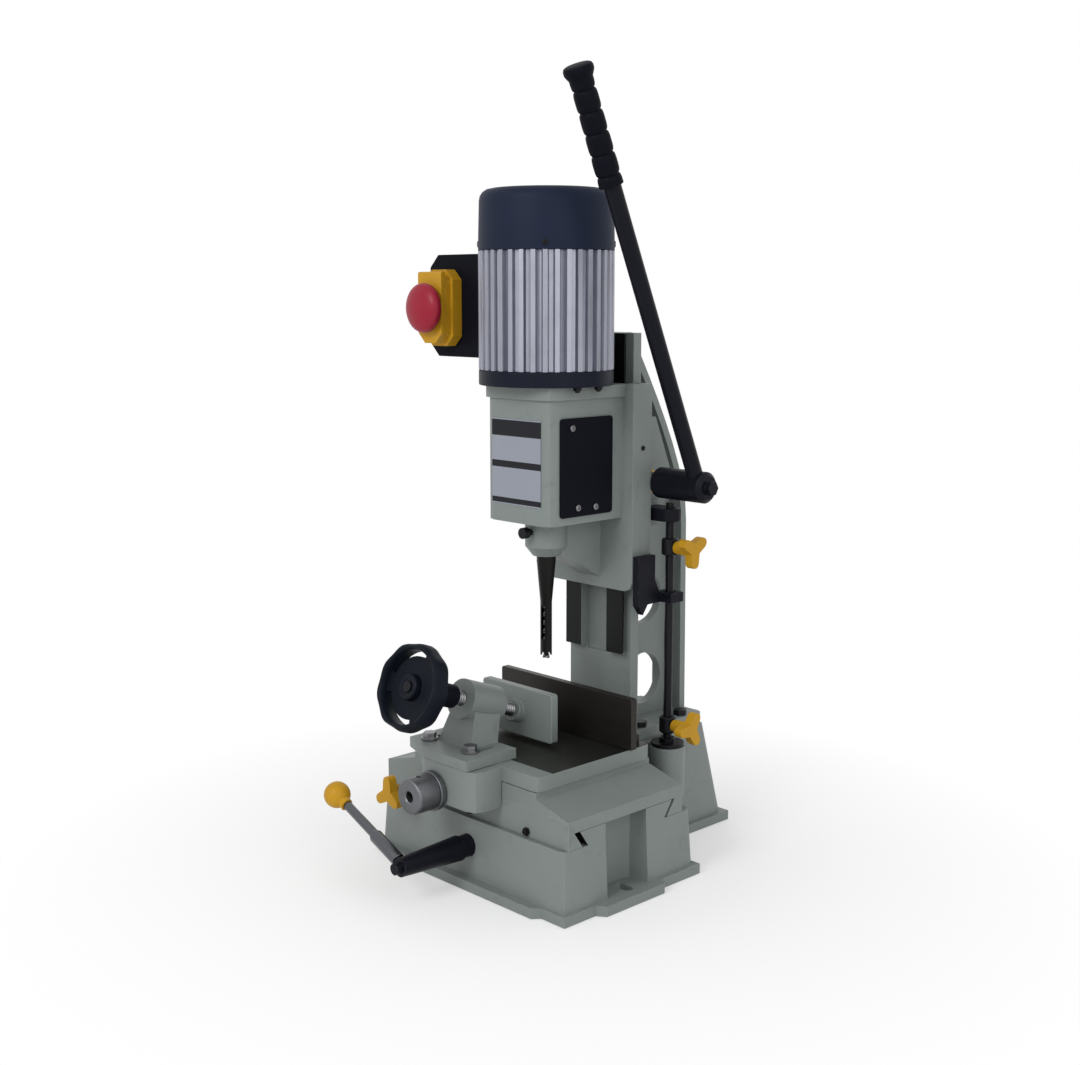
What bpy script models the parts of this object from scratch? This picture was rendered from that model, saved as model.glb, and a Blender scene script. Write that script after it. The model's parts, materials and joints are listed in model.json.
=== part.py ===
"""Bench hollow chisel mortiser with a cross-slide table and a screw vise.

Metres, +Z up, +X to the operator's right, +Y to the back of the machine.
The origin is the chisel axis at the level of the bench.
"""

import math

import bmesh
import bpy
from mathutils import Matrix, Vector

# Fits that all pieces share
FIT = 0.0003
OVERRUN = 0.004
WELD = 0.000001
ROUND_FINE = 10
ROUND = 16
ROUND_LARGE = 28
CORNER_STEPS = 2
SMOOTH_ANGLE = math.radians(38)

# Base casting: front block
BASE_HALF_WIDTH = 0.1315
BASE_FOOT_HALF_WIDTH = 0.135
BASE_FRONT_Y = -0.104
BASE_FOOT_FRONT_Y = -0.1075
BASE_REAR_Y = 0.072
BASE_FOOT_REAR_Y = 0.0745
BASE_SHOULDER_Z = 0.0673
BASE_CORNER = 0.008
BASE_WALL = 0.009
BASE_DECK = 0.010
FLANGE_HEIGHT = 0.010
FLANGE_HALF_WIDTH = 0.1385
FLANGE_FRONT_Y = -0.1105
FLANGE_REAR_Y = 0.0785
FRONT_LUG_HALF_WIDTH = 0.102
FRONT_LUG_Y = -0.118
LUG_SLOPE = 0.006
SIDE_LUG_HALF_WIDTH = 0.1475
SIDE_LUG_FRONT_Y = -0.064
SIDE_LUG_REAR_Y = 0.016
BOLT_SLOT_X = 0.1265
BOLT_SLOT_Y = -0.019
BOLT_SLOT_LENGTH = 0.020
BOLT_SLOT_WIDTH = 0.010

# Base casting: dovetail way along X, its rack trough and the end pockets
WAY_TOP_Z = 0.0832
WAY_FRONT_ROOT_Y = -0.073
WAY_FRONT_TOP_Y = -0.084
WAY_REAR_ROOT_Y = 0.032
WAY_REAR_TOP_Y = 0.043
TROUGH_HALF_LENGTH = 0.098
TROUGH_FRONT_Y = -0.0385
TROUGH_REAR_Y = -0.0075
BEARING_RIB_FRONT_Y = -0.0048
BEARING_RIB_REAR_Y = 0.0062
POCKET_FRONT_Y = -0.050
POCKET_REAR_Y = 0.006
POCKET_INNER_X = 0.1095
POCKET_CORNER = 0.012

# Base casting: column foot and depth rod boss
FOOT_HALF_WIDTH = 0.056
FOOT_TOP_HALF_WIDTH = 0.0475
FOOT_FRONT_Y = 0.062
FOOT_REAR_Y = 0.2145
FOOT_TOP_REAR_Y = 0.192
FOOT_TOP_Z = 0.112
FOOT_FLANGE_HALF_WIDTH = 0.0605
FOOT_FLANGE_REAR_Y = 0.219
ROD_X = 0.072
ROD_Y = 0.103
ROD_RADIUS = 0.0045
ROD_BOSS_RADIUS = 0.018
ROD_BOSS_TIP_RADIUS = 0.007
ROD_BOSS_TIP_Z = 0.026
ROD_BOSS_SHOULDER_Z = 0.060
ROD_SOCKET_DEPTH = 0.026

# Column casting
COLUMN_HALF_WIDTH = 0.043
COLUMN_FRONT_Y = 0.078
COLUMN_PLATE = 0.011
COLUMN_TOP_Z = 0.530
COLUMN_WEB = 0.009
COLUMN_FLANGE = 0.008
COLUMN_FLANGE_HALF_WIDTH = 0.020
COLUMN_REAR_Y = 0.190
COLUMN_BEND_Y = 0.188
COLUMN_BEND_Z = 0.330
COLUMN_BEND_PULL = 0.055
COLUMN_CREST_Y = 0.100
COLUMN_CREST_PULL_Y = 0.040
COLUMN_CREST_PULL_Z = 0.066
COLUMN_BEND_STEPS = 9
PLINTH_HALF_WIDTH = 0.045
PLINTH_FRONT_Y = 0.0775
PLINTH_REAR_Y = 0.1905
PLINTH_HEIGHT = 0.012
PLINTH_CORNER = 0.006
COLUMN_BOLT_X = 0.036
COLUMN_BOLT_FRONT_Y = 0.101
COLUMN_BOLT_REAR_Y = 0.164
COLUMN_BOLT_RADIUS = 0.004
COLUMN_BOLT_LENGTH = 0.019
COLUMN_BOLT_HEAD_RADIUS = 0.0075
COLUMN_BOLT_HEAD = 0.0055
WEB_HOLE_RADIUS = 0.0275
WEB_HOLE_Y = 0.139
WEB_HOLE_LOW_Z = 0.163
WEB_HOLE_PITCH = 0.088

# Column casting: vertical dovetail way
RISE_BOTTOM_Z = 0.207
RISE_FRONT_Y = 0.068
RISE_HALF_WIDTH = 0.040
RISE_ROOT_HALF_WIDTH = 0.033
RISE_CHANNEL_HALF_WIDTH = 0.018
RISE_CHANNEL_DEPTH = 0.0125

# Feed pinion and its housing in the column
FEED_Y = 0.100
FEED_Z = 0.382
HOUSING_RADIUS = 0.0360
HOUSING_CREST_Y = 0.112
HOUSING_TOP_Z = 0.446
HOUSING_ARC = math.radians(115)
HOUSING_FRONT_Y = 0.084
HOUSING_LEFT_X = -0.034
HOUSING_RIGHT_X = 0.0428
FEED_SHAFT_RADIUS = 0.0095
FEED_SHAFT_LEFT_X = -0.040
FEED_SHAFT_RIGHT_X = 0.096
FEED_BUSH_WALL = 0.003
FEED_BUSH_FLANGE_RADIUS = 0.0120
FEED_BUSH_FLANGE = 0.004
FEED_BUSH_DEPTH = 0.022
ARM_PAD_RIGHT_X = 0.045
ARM_PAD_FRONT_Y = 0.0875
ARM_PAD_REAR_Y = 0.116
ARM_PAD_BOTTOM_Z = 0.336
ARM_PAD_TOP_Z = 0.362

# Gear cut that both rack drives share
GEAR_TEETH = 16
GEAR_MODULE = 0.003
GEAR_WIDTH = 0.021
GEAR_ADDENDUM = 0.0026
GEAR_DEDENDUM = 0.0034
GEAR_BACKLASH = 0.0009
GEAR_FLANK_STEPS = 1
PRESSURE_ANGLE = math.radians(20)

# Feed lever
FEED_HUB_RADIUS = 0.0155
FEED_HUB_LEFT_X = 0.0612
FEED_HUB_RIGHT_X = 0.1235
FEED_HUB_CHAMFER = 0.004
FEED_HUB_NUT_RADIUS = 0.0075
FEED_HUB_NUT = 0.006
LEVER_X = 0.110
LEVER_LEAN = math.radians(24)
LEVER_RADIUS = 0.0080
LEVER_START = 0.0035
LEVER_LENGTH = 0.416
GRIP_LENGTH = 0.108
GRIP_RADIUS = 0.0120
GRIP_WAIST_RADIUS = 0.0102
GRIP_END_RADIUS = 0.0138
GRIP_WAVES = 5
GRIP_CAP = 0.006
GRIP_END_BAND = 0.012

# Depth stop
ROD_ARM_LEFT_GAP_X = 0.0453
ROD_ARM_RIGHT_X = 0.083
ROD_ARM_FRONT_Y = 0.092
ROD_ARM_REAR_Y = 0.114
ROD_ARM_BOTTOM_Z = 0.344
ROD_ARM_TOP_Z = 0.357
ROD_TOP_Z = 0.3625
ROD_PLATE_RADIUS = 0.0172
ROD_PLATE = 0.0035
ROD_NUT_RADIUS = 0.0085
ROD_NUT = 0.0045
COLLAR_RADIUS = 0.0085
COLLAR_HEIGHT = 0.017
COLLAR_CHAMFER = 0.0012
UPPER_COLLAR_Z = 0.3095
LOWER_COLLAR_Z = 0.1255
KNOB_RADIUS = 0.0185
KNOB_LOBE_RADIUS = 0.0052
KNOB_WAIST_RADIUS = 0.0070
KNOB_THICKNESS = 0.0090
KNOB_COLLAR_RADIUS = 0.0062
KNOB_NECK_RADIUS = 0.0078
KNOB_COLLAR = 0.0160
KNOB_STUD_RADIUS = 0.0026
KNOB_LOBES = 3
KNOB_STEPS = 10

# Head casting
SLIDE_HALF_WIDTH = 0.060
SLIDE_FRONT_Y = 0.060
SLIDE_REAR_Y = 0.087
SLIDE_BOTTOM_Z = 0.275
SLIDE_CORNER = 0.010
HEAD_TOP_Z = 0.481
HEAD_BOX_HALF_WIDTH = 0.0450
HEAD_BOX_FRONT_Y = -0.040
HEAD_BOX_BOTTOM_Z = 0.349
HEAD_BOX_CORNER = 0.012
HEAD_BOX_WALL = 0.009
HEAD_BOX_FLOOR = 0.008
HEAD_BOX_REAR_Y = 0.052
HEAD_RIM = 0.0035
HEAD_RIM_HEIGHT = 0.012
HEAD_RIM_CORNER = 0.015
SPIGOT_RADIUS = 0.0300
HEAD_ROOF = 0.008
GIB_THICKNESS = 0.004
GIB_END_SHORTFALL = 0.003
CHISEL_BOSS_RADIUS = 0.021
CHISEL_BOSS_NOSE_RADIUS = 0.0135
CHISEL_BOSS_BOTTOM_Z = 0.313
CHISEL_BOSS_SHOULDER_Z = 0.3225
CHISEL_RIB_HALF_WIDTH = 0.016
CHISEL_RIB_BOTTOM_Z = 0.320
LOCK_SCREW_Z = 0.338
LOCK_SCREW_RADIUS = 0.0030
LOCK_SCREW_HEAD_RADIUS = 0.0055
LOCK_SCREW_HEAD = 0.007
LOCK_SCREW_STANDOFF = 0.005
COVER_FRONT_Y = -0.0265
COVER_REAR_Y = 0.0445
COVER_BOTTOM_Z = 0.3565
COVER_TOP_Z = 0.4515
COVER_THICKNESS = 0.0022
COVER_CORNER = 0.003
WINDOW_MARGIN = 0.009
WINDOW_CORNER = 0.006
RACK_HALF_WIDTH = 0.0095
HEAD_RACK_BOTTOM_Z = 0.326
HEAD_RACK_PITCHES = 12

# Stop arm on the slide
STOP_ARM_TOP_Z = 0.311
STOP_ARM_BOTTOM_Z = 0.252
STOP_ARM_FRONT_Y = 0.0615
STOP_ARM_REAR_Y = 0.086
STOP_ARM_THICKNESS = 0.0075
STOP_TAB_BOTTOM_Z = 0.262
STOP_TAB_TOP_Z = 0.272
STOP_TAB_REAR_Y = 0.113
STOP_TAB_RIGHT_X = 0.082
STOP_TAB_CLEARANCE = 0.0012
STOP_ARM_TAIL = 0.014

# Chisel, bit and chuck
CHISEL_SHANK_RADIUS = 0.0095
CHISEL_TOP_Z = 0.3485
CHISEL_TAPER_TOP_Z = 0.306
CHISEL_TAPER_BOTTOM_Z = 0.266
CHISEL_HALF_SIDE = 0.0048
CHISEL_TIP_Z = 0.2115
CHISEL_BEVEL = 0.0042
CHISEL_BORE_RADIUS = 0.0039
CHISEL_WINDOW_WIDTH = 0.0050
CHISEL_WINDOW_TOP_Z = 0.262
CHISEL_WINDOW_BOTTOM_Z = 0.228
BIT_RADIUS = 0.0035
BIT_CORE_RADIUS = 0.0014
BIT_SHANK_RADIUS = 0.0030
BIT_TIP_Z = 0.2085
BIT_FLUTE_TOP_Z = 0.268
BIT_TOP_Z = 0.392
BIT_TURNS = 3.5
BIT_STEPS = 28
CHUCK_RADIUS = 0.0175
CHUCK_BOTTOM_Z = 0.366
CHUCK_TOP_Z = 0.412
CHUCK_NOSE_RADIUS = 0.0085
CHUCK_NOSE = 0.012
CHUCK_GROOVE = 0.0012
CHUCK_GROOVE_WIDTH = 0.003
CHUCK_GROOVE_SHARE = 0.55
BIT_PASSAGE_RADIUS = 0.0060

# Motor
MOTOR_FLANGE_RADIUS = 0.0655
MOTOR_FLANGE = 0.0145
MOTOR_SPIGOT = 0.006
MOTOR_FRAME_HEIGHT = 0.1125
MOTOR_FIN_RADIUS = 0.0655
MOTOR_FIN_ROOT_RADIUS = 0.0595
MOTOR_DEEP_ROOT_RADIUS = 0.0575
MOTOR_BORE_RADIUS = 0.0515
MOTOR_FINS = 36
MOTOR_FIN_THICKNESS = 0.0046
MOTOR_FIN_ROOT_SHARE = 0.7
MOTOR_SHAFT_RADIUS = 0.0080
MOTOR_SHAFT_TIP_RADIUS = 0.0060
ROTOR_RADIUS = 0.0300
ROTOR_GAP = 0.012
BEARING_RADIUS = 0.0175
BEARING_HEIGHT = 0.011
FAN_COVER_RADIUS = 0.0645
FAN_COVER_SKIRT_RADIUS = 0.0655
FAN_COVER_SKIRT = 0.006
FAN_COVER_HEIGHT = 0.0575
FAN_COVER_CROWN = 0.011
FAN_COVER_WALL = 0.0025
VENTS = 10
VENT_INNER_RADIUS = 0.018
VENT_OUTER_RADIUS = 0.046
VENT_WIDTH = 0.0045
FAN_HUB_RADIUS = 0.0125
FAN_RADIUS = 0.0560
FAN_BLADES = 7
FAN_BLADE = 0.0022
FAN_HEIGHT = 0.026
FAN_RISE = 0.012
FAN_PLATE = 0.0025

# Switch
SWITCH_LEFT_X = -0.150
SWITCH_RIGHT_X = -0.055
SWITCH_FRONT_Y = -0.0200
SWITCH_REAR_Y = 0.024
SWITCH_BOTTOM_Z = 0.505
SWITCH_TOP_Z = 0.607
SWITCH_CHAMFER = 0.012
SWITCH_STEP = 0.006
SWITCH_WALL = 0.003
SWITCH_MOTOR_GAP = 0.0006
PLATE_LEFT_X = -0.1430
PLATE_RIGHT_X = -0.1010
PLATE_BOTTOM_Z = 0.5160
PLATE_TOP_Z = 0.5920
PLATE_DEPTH = 0.0190
PLATE_CORNER = 0.010
PLATE_STEP = 0.007
FLAP_THICKNESS = 0.0050
FLAP_INSET = 0.0030
FLAP_HINGE_DROP = 0.0045
STOP_RADIUS = 0.0245
STOP_STEM_RADIUS = 0.0110
STOP_BORE_DEPTH = 0.0055
STOP_DOME = 0.0140
STOP_SKIRT_SHARE = 0.35
STOP_DOME_STEPS = 6
STOP_TRAVEL_GAP = 0.0045
START_HALF_SIDE = 0.0070
START_DEPTH = 0.0060
START_Z = 0.5330
START_RECESS = 0.0090

# Saddle
SADDLE_FRONT_Y = -0.099
SADDLE_REAR_Y = 0.058
SADDLE_LIP_Z = 0.0676
SADDLE_EDGE_Z = 0.095
SADDLE_SIDE_GIB = 0.0040
SADDLE_CREST_HALF_WIDTH = 0.088
SADDLE_CREST_Z = 0.1120
SADDLE_CREST_DROP = 0.0055
GROOVE_FLOOR_Z = 0.0977
SADDLE_RACK_PITCHES = 11
SADDLE_RACK_LEFT_PITCHES = 8
NUT_HALF_WIDTH = 0.010
NUT_FRONT_Y = -0.078
NUT_REAR_Y = -0.050
NUT_TOP_Z = 0.1085
NUT_FLOOR_Z = 0.0870
LOCK_KNOB_X = -0.084
LOCK_KNOB_Z = 0.0775
LOCK_KNOB_STANDOFF = 0.015
LOCK_KNOB_DEPTH = 0.010

# Traverse lever of the saddle
TRAVERSE_Z = 0.040
TRAVERSE_SHAFT_RADIUS = 0.0080
TRAVERSE_GEAR_FRONT_Y = -0.0335
TRAVERSE_JOURNAL_RADIUS = 0.0110
TRAVERSE_HUB_RADIUS = 0.0125
TRAVERSE_HUB_END_RADIUS = 0.0090
TRAVERSE_HUB_END_Y = -0.1900
TRAVERSE_NOSE_RADIUS = 0.0055
TRAVERSE_NOSE = 0.0065
TRAVERSE_LEVER_Y = -0.1840
TRAVERSE_LEVER_LEAN = math.radians(67)
TRAVERSE_LEVER_RADIUS = 0.0046
TRAVERSE_LEVER_LENGTH = 0.112
TRAVERSE_LEVER_START = 0.0020
BALL_RADIUS = 0.0135
BALL_NECK_RADIUS = 0.0062
BALL_NECK = 0.006
BALL_STEPS = 10

# Table, its nose and its tongue
TABLE_HALF_WIDTH = 0.090
TABLE_FRONT_Y = -0.0975
TABLE_REAR_Y = 0.057
TABLE_BOTTOM_Z = 0.1125
TABLE_TOP_Z = 0.1270
TABLE_CORNER = 0.006
TONGUE_HALF_WIDTH = 0.0355
TONGUE_ROOT_HALF_WIDTH = 0.0295
TONGUE_CENTRE_X = -0.0065
NOSE_FRONT_Y = -0.1330
NOSE_REAR_Y = -0.0995
NOSE_BOTTOM_Z = 0.0880
NOSE_CORNER = 0.012
NOSE_HALF_WIDTH = 0.0420
SCREW_RELIEF_HALF_WIDTH = 0.0115

# Cross screw of the table
CROSS_X = -0.016
CROSS_Z = 0.0985
CROSS_RADIUS = 0.0060
CROSS_JOURNAL_RADIUS = 0.0080
CROSS_REAR_Y = -0.030
CROSS_HUB_RADIUS = 0.0175
CROSS_DIAL_RADIUS = 0.0195
CROSS_DIAL = 0.0070
CROSS_HUB_FRONT_Y = -0.1650
CROSS_SOCKET_RADIUS = 0.0052
CROSS_SOCKET_DEPTH = 0.016
CROSS_CHAMFER = 0.0025

# Fence
FENCE_HALF_WIDTH = 0.0935
FENCE_FRONT_Y = 0.0250
FENCE_THICKNESS = 0.0080
FENCE_TOP_Z = 0.1785
FENCE_FOOT_REAR_Y = 0.0520
FENCE_FOOT_HEIGHT = 0.0080
FENCE_FOOT_HALF_WIDTH = 0.080
FENCE_CORNER = 0.002

# Vise bracket
VISE_X = -0.018
BRACKET_HALF_WIDTH = 0.050
BRACKET_FRONT_Y = -0.1340
BRACKET_REAR_Y = -0.0710
BRACKET_HEIGHT = 0.0100
BRACKET_CLIP_X = 0.036
BRACKET_CLIP_Y = 0.013
PEDESTAL_HALF_WIDTH = 0.0250
PEDESTAL_TOP_HALF_WIDTH = 0.0165
PEDESTAL_FRONT_Y = -0.1080
PEDESTAL_TOP_FRONT_Y = -0.0930
PEDESTAL_REAR_Y = -0.0725
PEDESTAL_TOP_REAR_Y = -0.0600
PEDESTAL_TOP_Z = 0.1720
CLAMP_SLOT_X = 0.0300
CLAMP_SLOT_CENTRE_Y = -0.1010
CLAMP_SLOT_LENGTH = 0.036
CLAMP_SLOT_WIDTH = 0.0088
CLAMP_BOLT_Y = -0.1120
CLAMP_BOLT_RADIUS = 0.0040
CLAMP_BOLT_DEPTH = 0.021
CLAMP_EAR_RADIUS = 0.0085
CLAMP_WASHER_RADIUS = 0.0085
CLAMP_WASHER = 0.0018
CLAMP_HEAD_RADIUS = 0.0068
CLAMP_HEAD = 0.0052
BOSS_RADIUS = 0.0195
BOSS_LENGTH = 0.044

# Vise screw, wheel and jaw
VISE_TILT = math.radians(20)
VISE_FRONT_Y = -0.0970
VISE_FRONT_Z = 0.1815
VISE_SCREW_RADIUS = 0.0070
VISE_SCREW_TIP_RADIUS = 0.0050
VISE_COLLAR_RADIUS = 0.0095
VISE_COLLAR_START = 0.0100
VISE_COLLAR = 0.0430
WHEEL_HUB_START = 0.0540
WHEEL_RADIUS = 0.0425
WHEEL_RIM_DEPTH = 0.0180
WHEEL_RIM_WALL = 0.0075
WHEEL_WEB = 0.0050
WHEEL_DISH = 0.0100
WHEEL_HUB_RADIUS = 0.0125
WHEEL_HUB_LENGTH = 0.0170
WHEEL_SCALLOPS = 9
WHEEL_SCALLOP_DEPTH = 0.0016
WHEEL_SPOKES = 3
WHEEL_GAP_INNER_RADIUS = 0.0235
WHEEL_GAP_OUTER_RADIUS = 0.0335
WHEEL_GAP_SWEEP = math.radians(84)
WHEEL_CROWN = 0.003
JAW_HALF_WIDTH = 0.0505
JAW_FRONT_Y = -0.0240
JAW_THICKNESS = 0.0090
JAW_BOTTOM_Z = 0.1304
JAW_TOP_Z = 0.1800
JAW_CORNER = 0.003
JAW_BOSS_RADIUS = 0.0115
JAW_BOSS_LENGTH = 0.0075
JAW_SOCKET_DEPTH = 0.0105

# Finishes: colour, roughness, metallic
CAST_PAINT = ((0.50, 0.53, 0.49), 0.45, 0.0)
BRIGHT_STEEL = ((0.55, 0.55, 0.55), 0.30, 1.0)
DARK_STEEL = ((0.13, 0.115, 0.10), 0.40, 0.9)
BLACK_OXIDE = ((0.022, 0.022, 0.028), 0.45, 0.8)
BLACK_PAINT = ((0.016, 0.017, 0.022), 0.40, 0.0)
BLACK_PLASTIC = ((0.020, 0.020, 0.024), 0.50, 0.0)
NAVY_PLASTIC = ((0.014, 0.019, 0.045), 0.42, 0.0)
YELLOW_PLASTIC = ((0.86, 0.60, 0.035), 0.40, 0.0)
RED_PLASTIC = ((0.72, 0.030, 0.035), 0.35, 0.0)
GREEN_PLASTIC = ((0.030, 0.36, 0.09), 0.40, 0.0)
BARE_ALUMINIUM = ((0.68, 0.68, 0.70), 0.35, 1.0)
CHROME = ((0.80, 0.80, 0.82), 0.12, 1.0)
BRASS = ((0.60, 0.43, 0.17), 0.35, 1.0)


def clear_scene():
    """Empty the scene before the model is made."""
    for item in list(bpy.data.objects):
        bpy.data.objects.remove(item, do_unlink=True)


def frame_on(centre, direction):
    """Matrix that carries local +Z onto a direction, with its zero at a centre."""
    turn = Vector(direction).to_track_quat("Z", "Y")
    return Matrix.Translation(Vector(centre)) @ turn.to_matrix().to_4x4()


def tidy(mesh):
    """Drop doubled points and let every face point outwards."""
    bmesh.ops.remove_doubles(mesh, verts=mesh.verts, dist=WELD / 10)
    bmesh.ops.recalc_face_normals(mesh, faces=mesh.faces)
    return mesh


def loft(sections):
    """Closed solid through rings of points that all have the same count."""
    mesh = bmesh.new()
    rings = [[mesh.verts.new(point) for point in section] for section in sections]
    count = len(rings[0])
    for low, high in zip(rings, rings[1:]):
        for step in range(count):
            after = (step + 1) % count
            mesh.faces.new((low[step], low[after], high[after], high[step]))
    mesh.faces.new(list(reversed(rings[0])))
    mesh.faces.new(rings[-1])
    return tidy(mesh)


def prism(outline, low, high, axis="Z"):
    """Outline drawn square to an axis and carried along it from low to high.

    The outline's pairs are (X, Y) for Z, (Y, Z) for X and (X, Z) for Y.
    """
    place = {
        "X": lambda u, v, w: (w, u, v),
        "Y": lambda u, v, w: (u, w, v),
        "Z": lambda u, v, w: (u, v, w),
    }[axis]
    return loft([[place(u, v, end) for u, v in outline] for end in (low, high)])


def box(low, high):
    """Plain block between two corners."""
    outline = [(low[0], low[1]), (high[0], low[1]), (high[0], high[1]), (low[0], high[1])]
    return prism(outline, low[2], high[2])


def arc(centre, radius, start, sweep, steps):
    """Points along an arc, both ends included."""
    return [
        (
            centre[0] + radius * math.cos(start + sweep * step / steps),
            centre[1] + radius * math.sin(start + sweep * step / steps),
        )
        for step in range(steps + 1)
    ]


def rounded(low_u, high_u, low_v, high_v, radius, corners=(1, 1, 1, 1)):
    """Rectangle whose chosen corners are round, from the low corner round."""
    centres = [
        (low_u, low_v, 1, 1, math.pi),
        (high_u, low_v, -1, 1, 1.5 * math.pi),
        (high_u, high_v, -1, -1, 0),
        (low_u, high_v, 1, -1, 0.5 * math.pi),
    ]
    outline = []
    for chosen, (u, v, side_u, side_v, start) in zip(corners, centres):
        if chosen:
            centre = (u + side_u * radius, v + side_v * radius)
            outline += arc(centre, radius, start, math.pi / 2, CORNER_STEPS)
        else:
            outline.append((u, v))
    return outline


def slot(centre, length, width, lengthwise="V"):
    """Round-ended slot outline."""
    reach = (length - width) / 2
    steps = 2 * CORNER_STEPS
    if lengthwise == "V":
        upper = arc((centre[0], centre[1] + reach), width / 2, 0, math.pi, steps)
        lower = arc((centre[0], centre[1] - reach), width / 2, math.pi, math.pi, steps)
        return upper + lower
    left = arc((centre[0] - reach, centre[1]), width / 2, math.pi / 2, math.pi, steps)
    right = arc((centre[0] + reach, centre[1]), width / 2, -math.pi / 2, math.pi, steps)
    return left + right


def turned(profile, centre=(0, 0, 0), direction=(0, 0, 1), segments=ROUND):
    """Solid of revolution of (radius, height) pairs about a direction."""
    mesh = bmesh.new()
    rings = []
    for radius, height in profile:
        if radius == 0:
            rings.append([mesh.verts.new((0, 0, height))])
            continue
        rings.append([
            mesh.verts.new((
                radius * math.cos(math.tau * step / segments),
                radius * math.sin(math.tau * step / segments),
                height,
            ))
            for step in range(segments)
        ])
    closed = len(rings[0]) > 1 and len(rings[-1]) > 1
    pairs = list(zip(rings, rings[1:]))
    if closed:
        pairs.append((rings[-1], rings[0]))
    for low, high in pairs:
        if len(low) == 1 and len(high) == 1:
            continue
        for step in range(segments):
            after = (step + 1) % segments
            corners = [low[step % len(low)], low[after % len(low)]]
            corners += [high[after % len(high)], high[step % len(high)]]
            face = list(dict.fromkeys(corners))
            mesh.faces.new(face)
    mesh.transform(frame_on(centre, direction))
    return tidy(mesh)


def bar(radius, start, end, segments=ROUND):
    """Round bar between two points."""
    start, end = Vector(start), Vector(end)
    length = (end - start).length
    profile = [(0, 0), (radius, 0), (radius, length), (0, length)]
    return turned(profile, start, end - start, segments)


def hexagon(radius):
    """Corners of a hexagon of a given corner radius."""
    return [(radius * math.cos(math.tau * k / 6), radius * math.sin(math.tau * k / 6))
            for k in range(6)]


def clipped(low_u, high_u, low_v, high_v, chamfer, corners=(1, 1, 1, 1)):
    """Rectangle whose chosen corners are cut off straight, from the low corner round."""
    outline = []
    for chosen, u, v, steps in (
            (corners[0], low_u, low_v, ((0, 1), (1, 0))), (corners[1], high_u, low_v, ((-1, 0), (0, 1))),
            (corners[2], high_u, high_v, ((0, -1), (-1, 0))), (corners[3], low_u, high_v, ((1, 0), (0, -1)))):
        if chosen:
            outline += [(u + chamfer * du, v + chamfer * dv) for du, dv in steps]
        else:
            outline.append((u, v))
    return outline


def moved(outline, shift_u, shift_v):
    """Outline carried by a shift."""
    return [(u + shift_u, v + shift_v) for u, v in outline]


def boolean(body, tool, operation):
    """Exact Boolean of one solid on a body."""
    holders = []
    for mesh in (body, tool):
        data = bpy.data.meshes.new("solid")
        mesh.to_mesh(data)
        mesh.free()
        holder = bpy.data.objects.new("solid", data)
        holder.hide_render = True
        holder.display_type = "WIRE"
        bpy.context.collection.objects.link(holder)
        holders.append(holder)
    step = holders[0].modifiers.new(operation.lower(), "BOOLEAN")
    step.operation = operation
    step.solver = "EXACT"
    step.object = holders[1]
    result = bmesh.new()
    result.from_object(holders[0], bpy.context.evaluated_depsgraph_get())
    for holder in holders:
        data = holder.data
        bpy.data.objects.remove(holder, do_unlink=True)
        bpy.data.meshes.remove(data)
    bmesh.ops.remove_doubles(result, verts=result.verts, dist=WELD)
    bmesh.ops.dissolve_degenerate(result, edges=result.edges, dist=WELD)
    return result


def cut(body, *tools):
    """Take solids away from a body, one after the other."""
    for tool in tools:
        body = boolean(body, tool, "DIFFERENCE")
    return body


def fuse(body, *tools):
    """Grow a body by solids that overlap it, one after the other."""
    for tool in tools:
        body = boolean(body, tool, "UNION")
    return body


def joint_frame(name, place, parent=None):
    """Empty on a joint's axis that carries the pieces which move there."""
    empty = bpy.data.objects.new(name, None)
    empty.location = Vector(place)
    if parent is not None:
        empty.location -= parent.matrix_world.translation
        empty.parent = parent
    bpy.context.collection.objects.link(empty)
    bpy.context.view_layer.update()
    return empty


def piece(name, mesh, finish, parent=None):
    """Turn a solid made in place into a named sub-part with its own material."""
    data = bpy.data.meshes.new(name)
    origin = parent.matrix_world.translation if parent is not None else Vector((0, 0, 0))
    mesh.transform(Matrix.Translation(-origin))
    mesh.to_mesh(data)
    mesh.free()
    data.shade_smooth()
    data.set_sharp_from_angle(angle=SMOOTH_ANGLE)
    colour, roughness, metallic = finish
    material = bpy.data.materials.new(name + "_finish")
    material.use_nodes = True
    shader = material.node_tree.nodes["Principled BSDF"]
    shader.inputs["Base Color"].default_value = (*colour, 1)
    shader.inputs["Roughness"].default_value = roughness
    shader.inputs["Metallic"].default_value = metallic
    material.diffuse_color = (*colour, 1)
    data.materials.append(material)
    sub_part = bpy.data.objects.new(name, data)
    sub_part.parent = parent
    bpy.context.collection.objects.link(sub_part)
    return sub_part


def mirrored(half):
    """Close a right half outline, given front to back, with its left half."""
    return half + [(-u, v) for u, v in reversed(half)]


def flange_outline():
    """Foot flange with the bolt lugs at its front and sides."""
    return mirrored([
        (FRONT_LUG_HALF_WIDTH, FRONT_LUG_Y),
        (FRONT_LUG_HALF_WIDTH + LUG_SLOPE, FLANGE_FRONT_Y),
        (FLANGE_HALF_WIDTH, FLANGE_FRONT_Y),
        (FLANGE_HALF_WIDTH, SIDE_LUG_FRONT_Y - LUG_SLOPE),
        (SIDE_LUG_HALF_WIDTH, SIDE_LUG_FRONT_Y),
        (SIDE_LUG_HALF_WIDTH, SIDE_LUG_REAR_Y),
        (FLANGE_HALF_WIDTH, SIDE_LUG_REAR_Y + LUG_SLOPE),
        (FLANGE_HALF_WIDTH, FLANGE_REAR_Y),
        (FOOT_FLANGE_HALF_WIDTH, FLANGE_REAR_Y),
        (FOOT_FLANGE_HALF_WIDTH, FOOT_FLANGE_REAR_Y),
    ])


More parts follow.
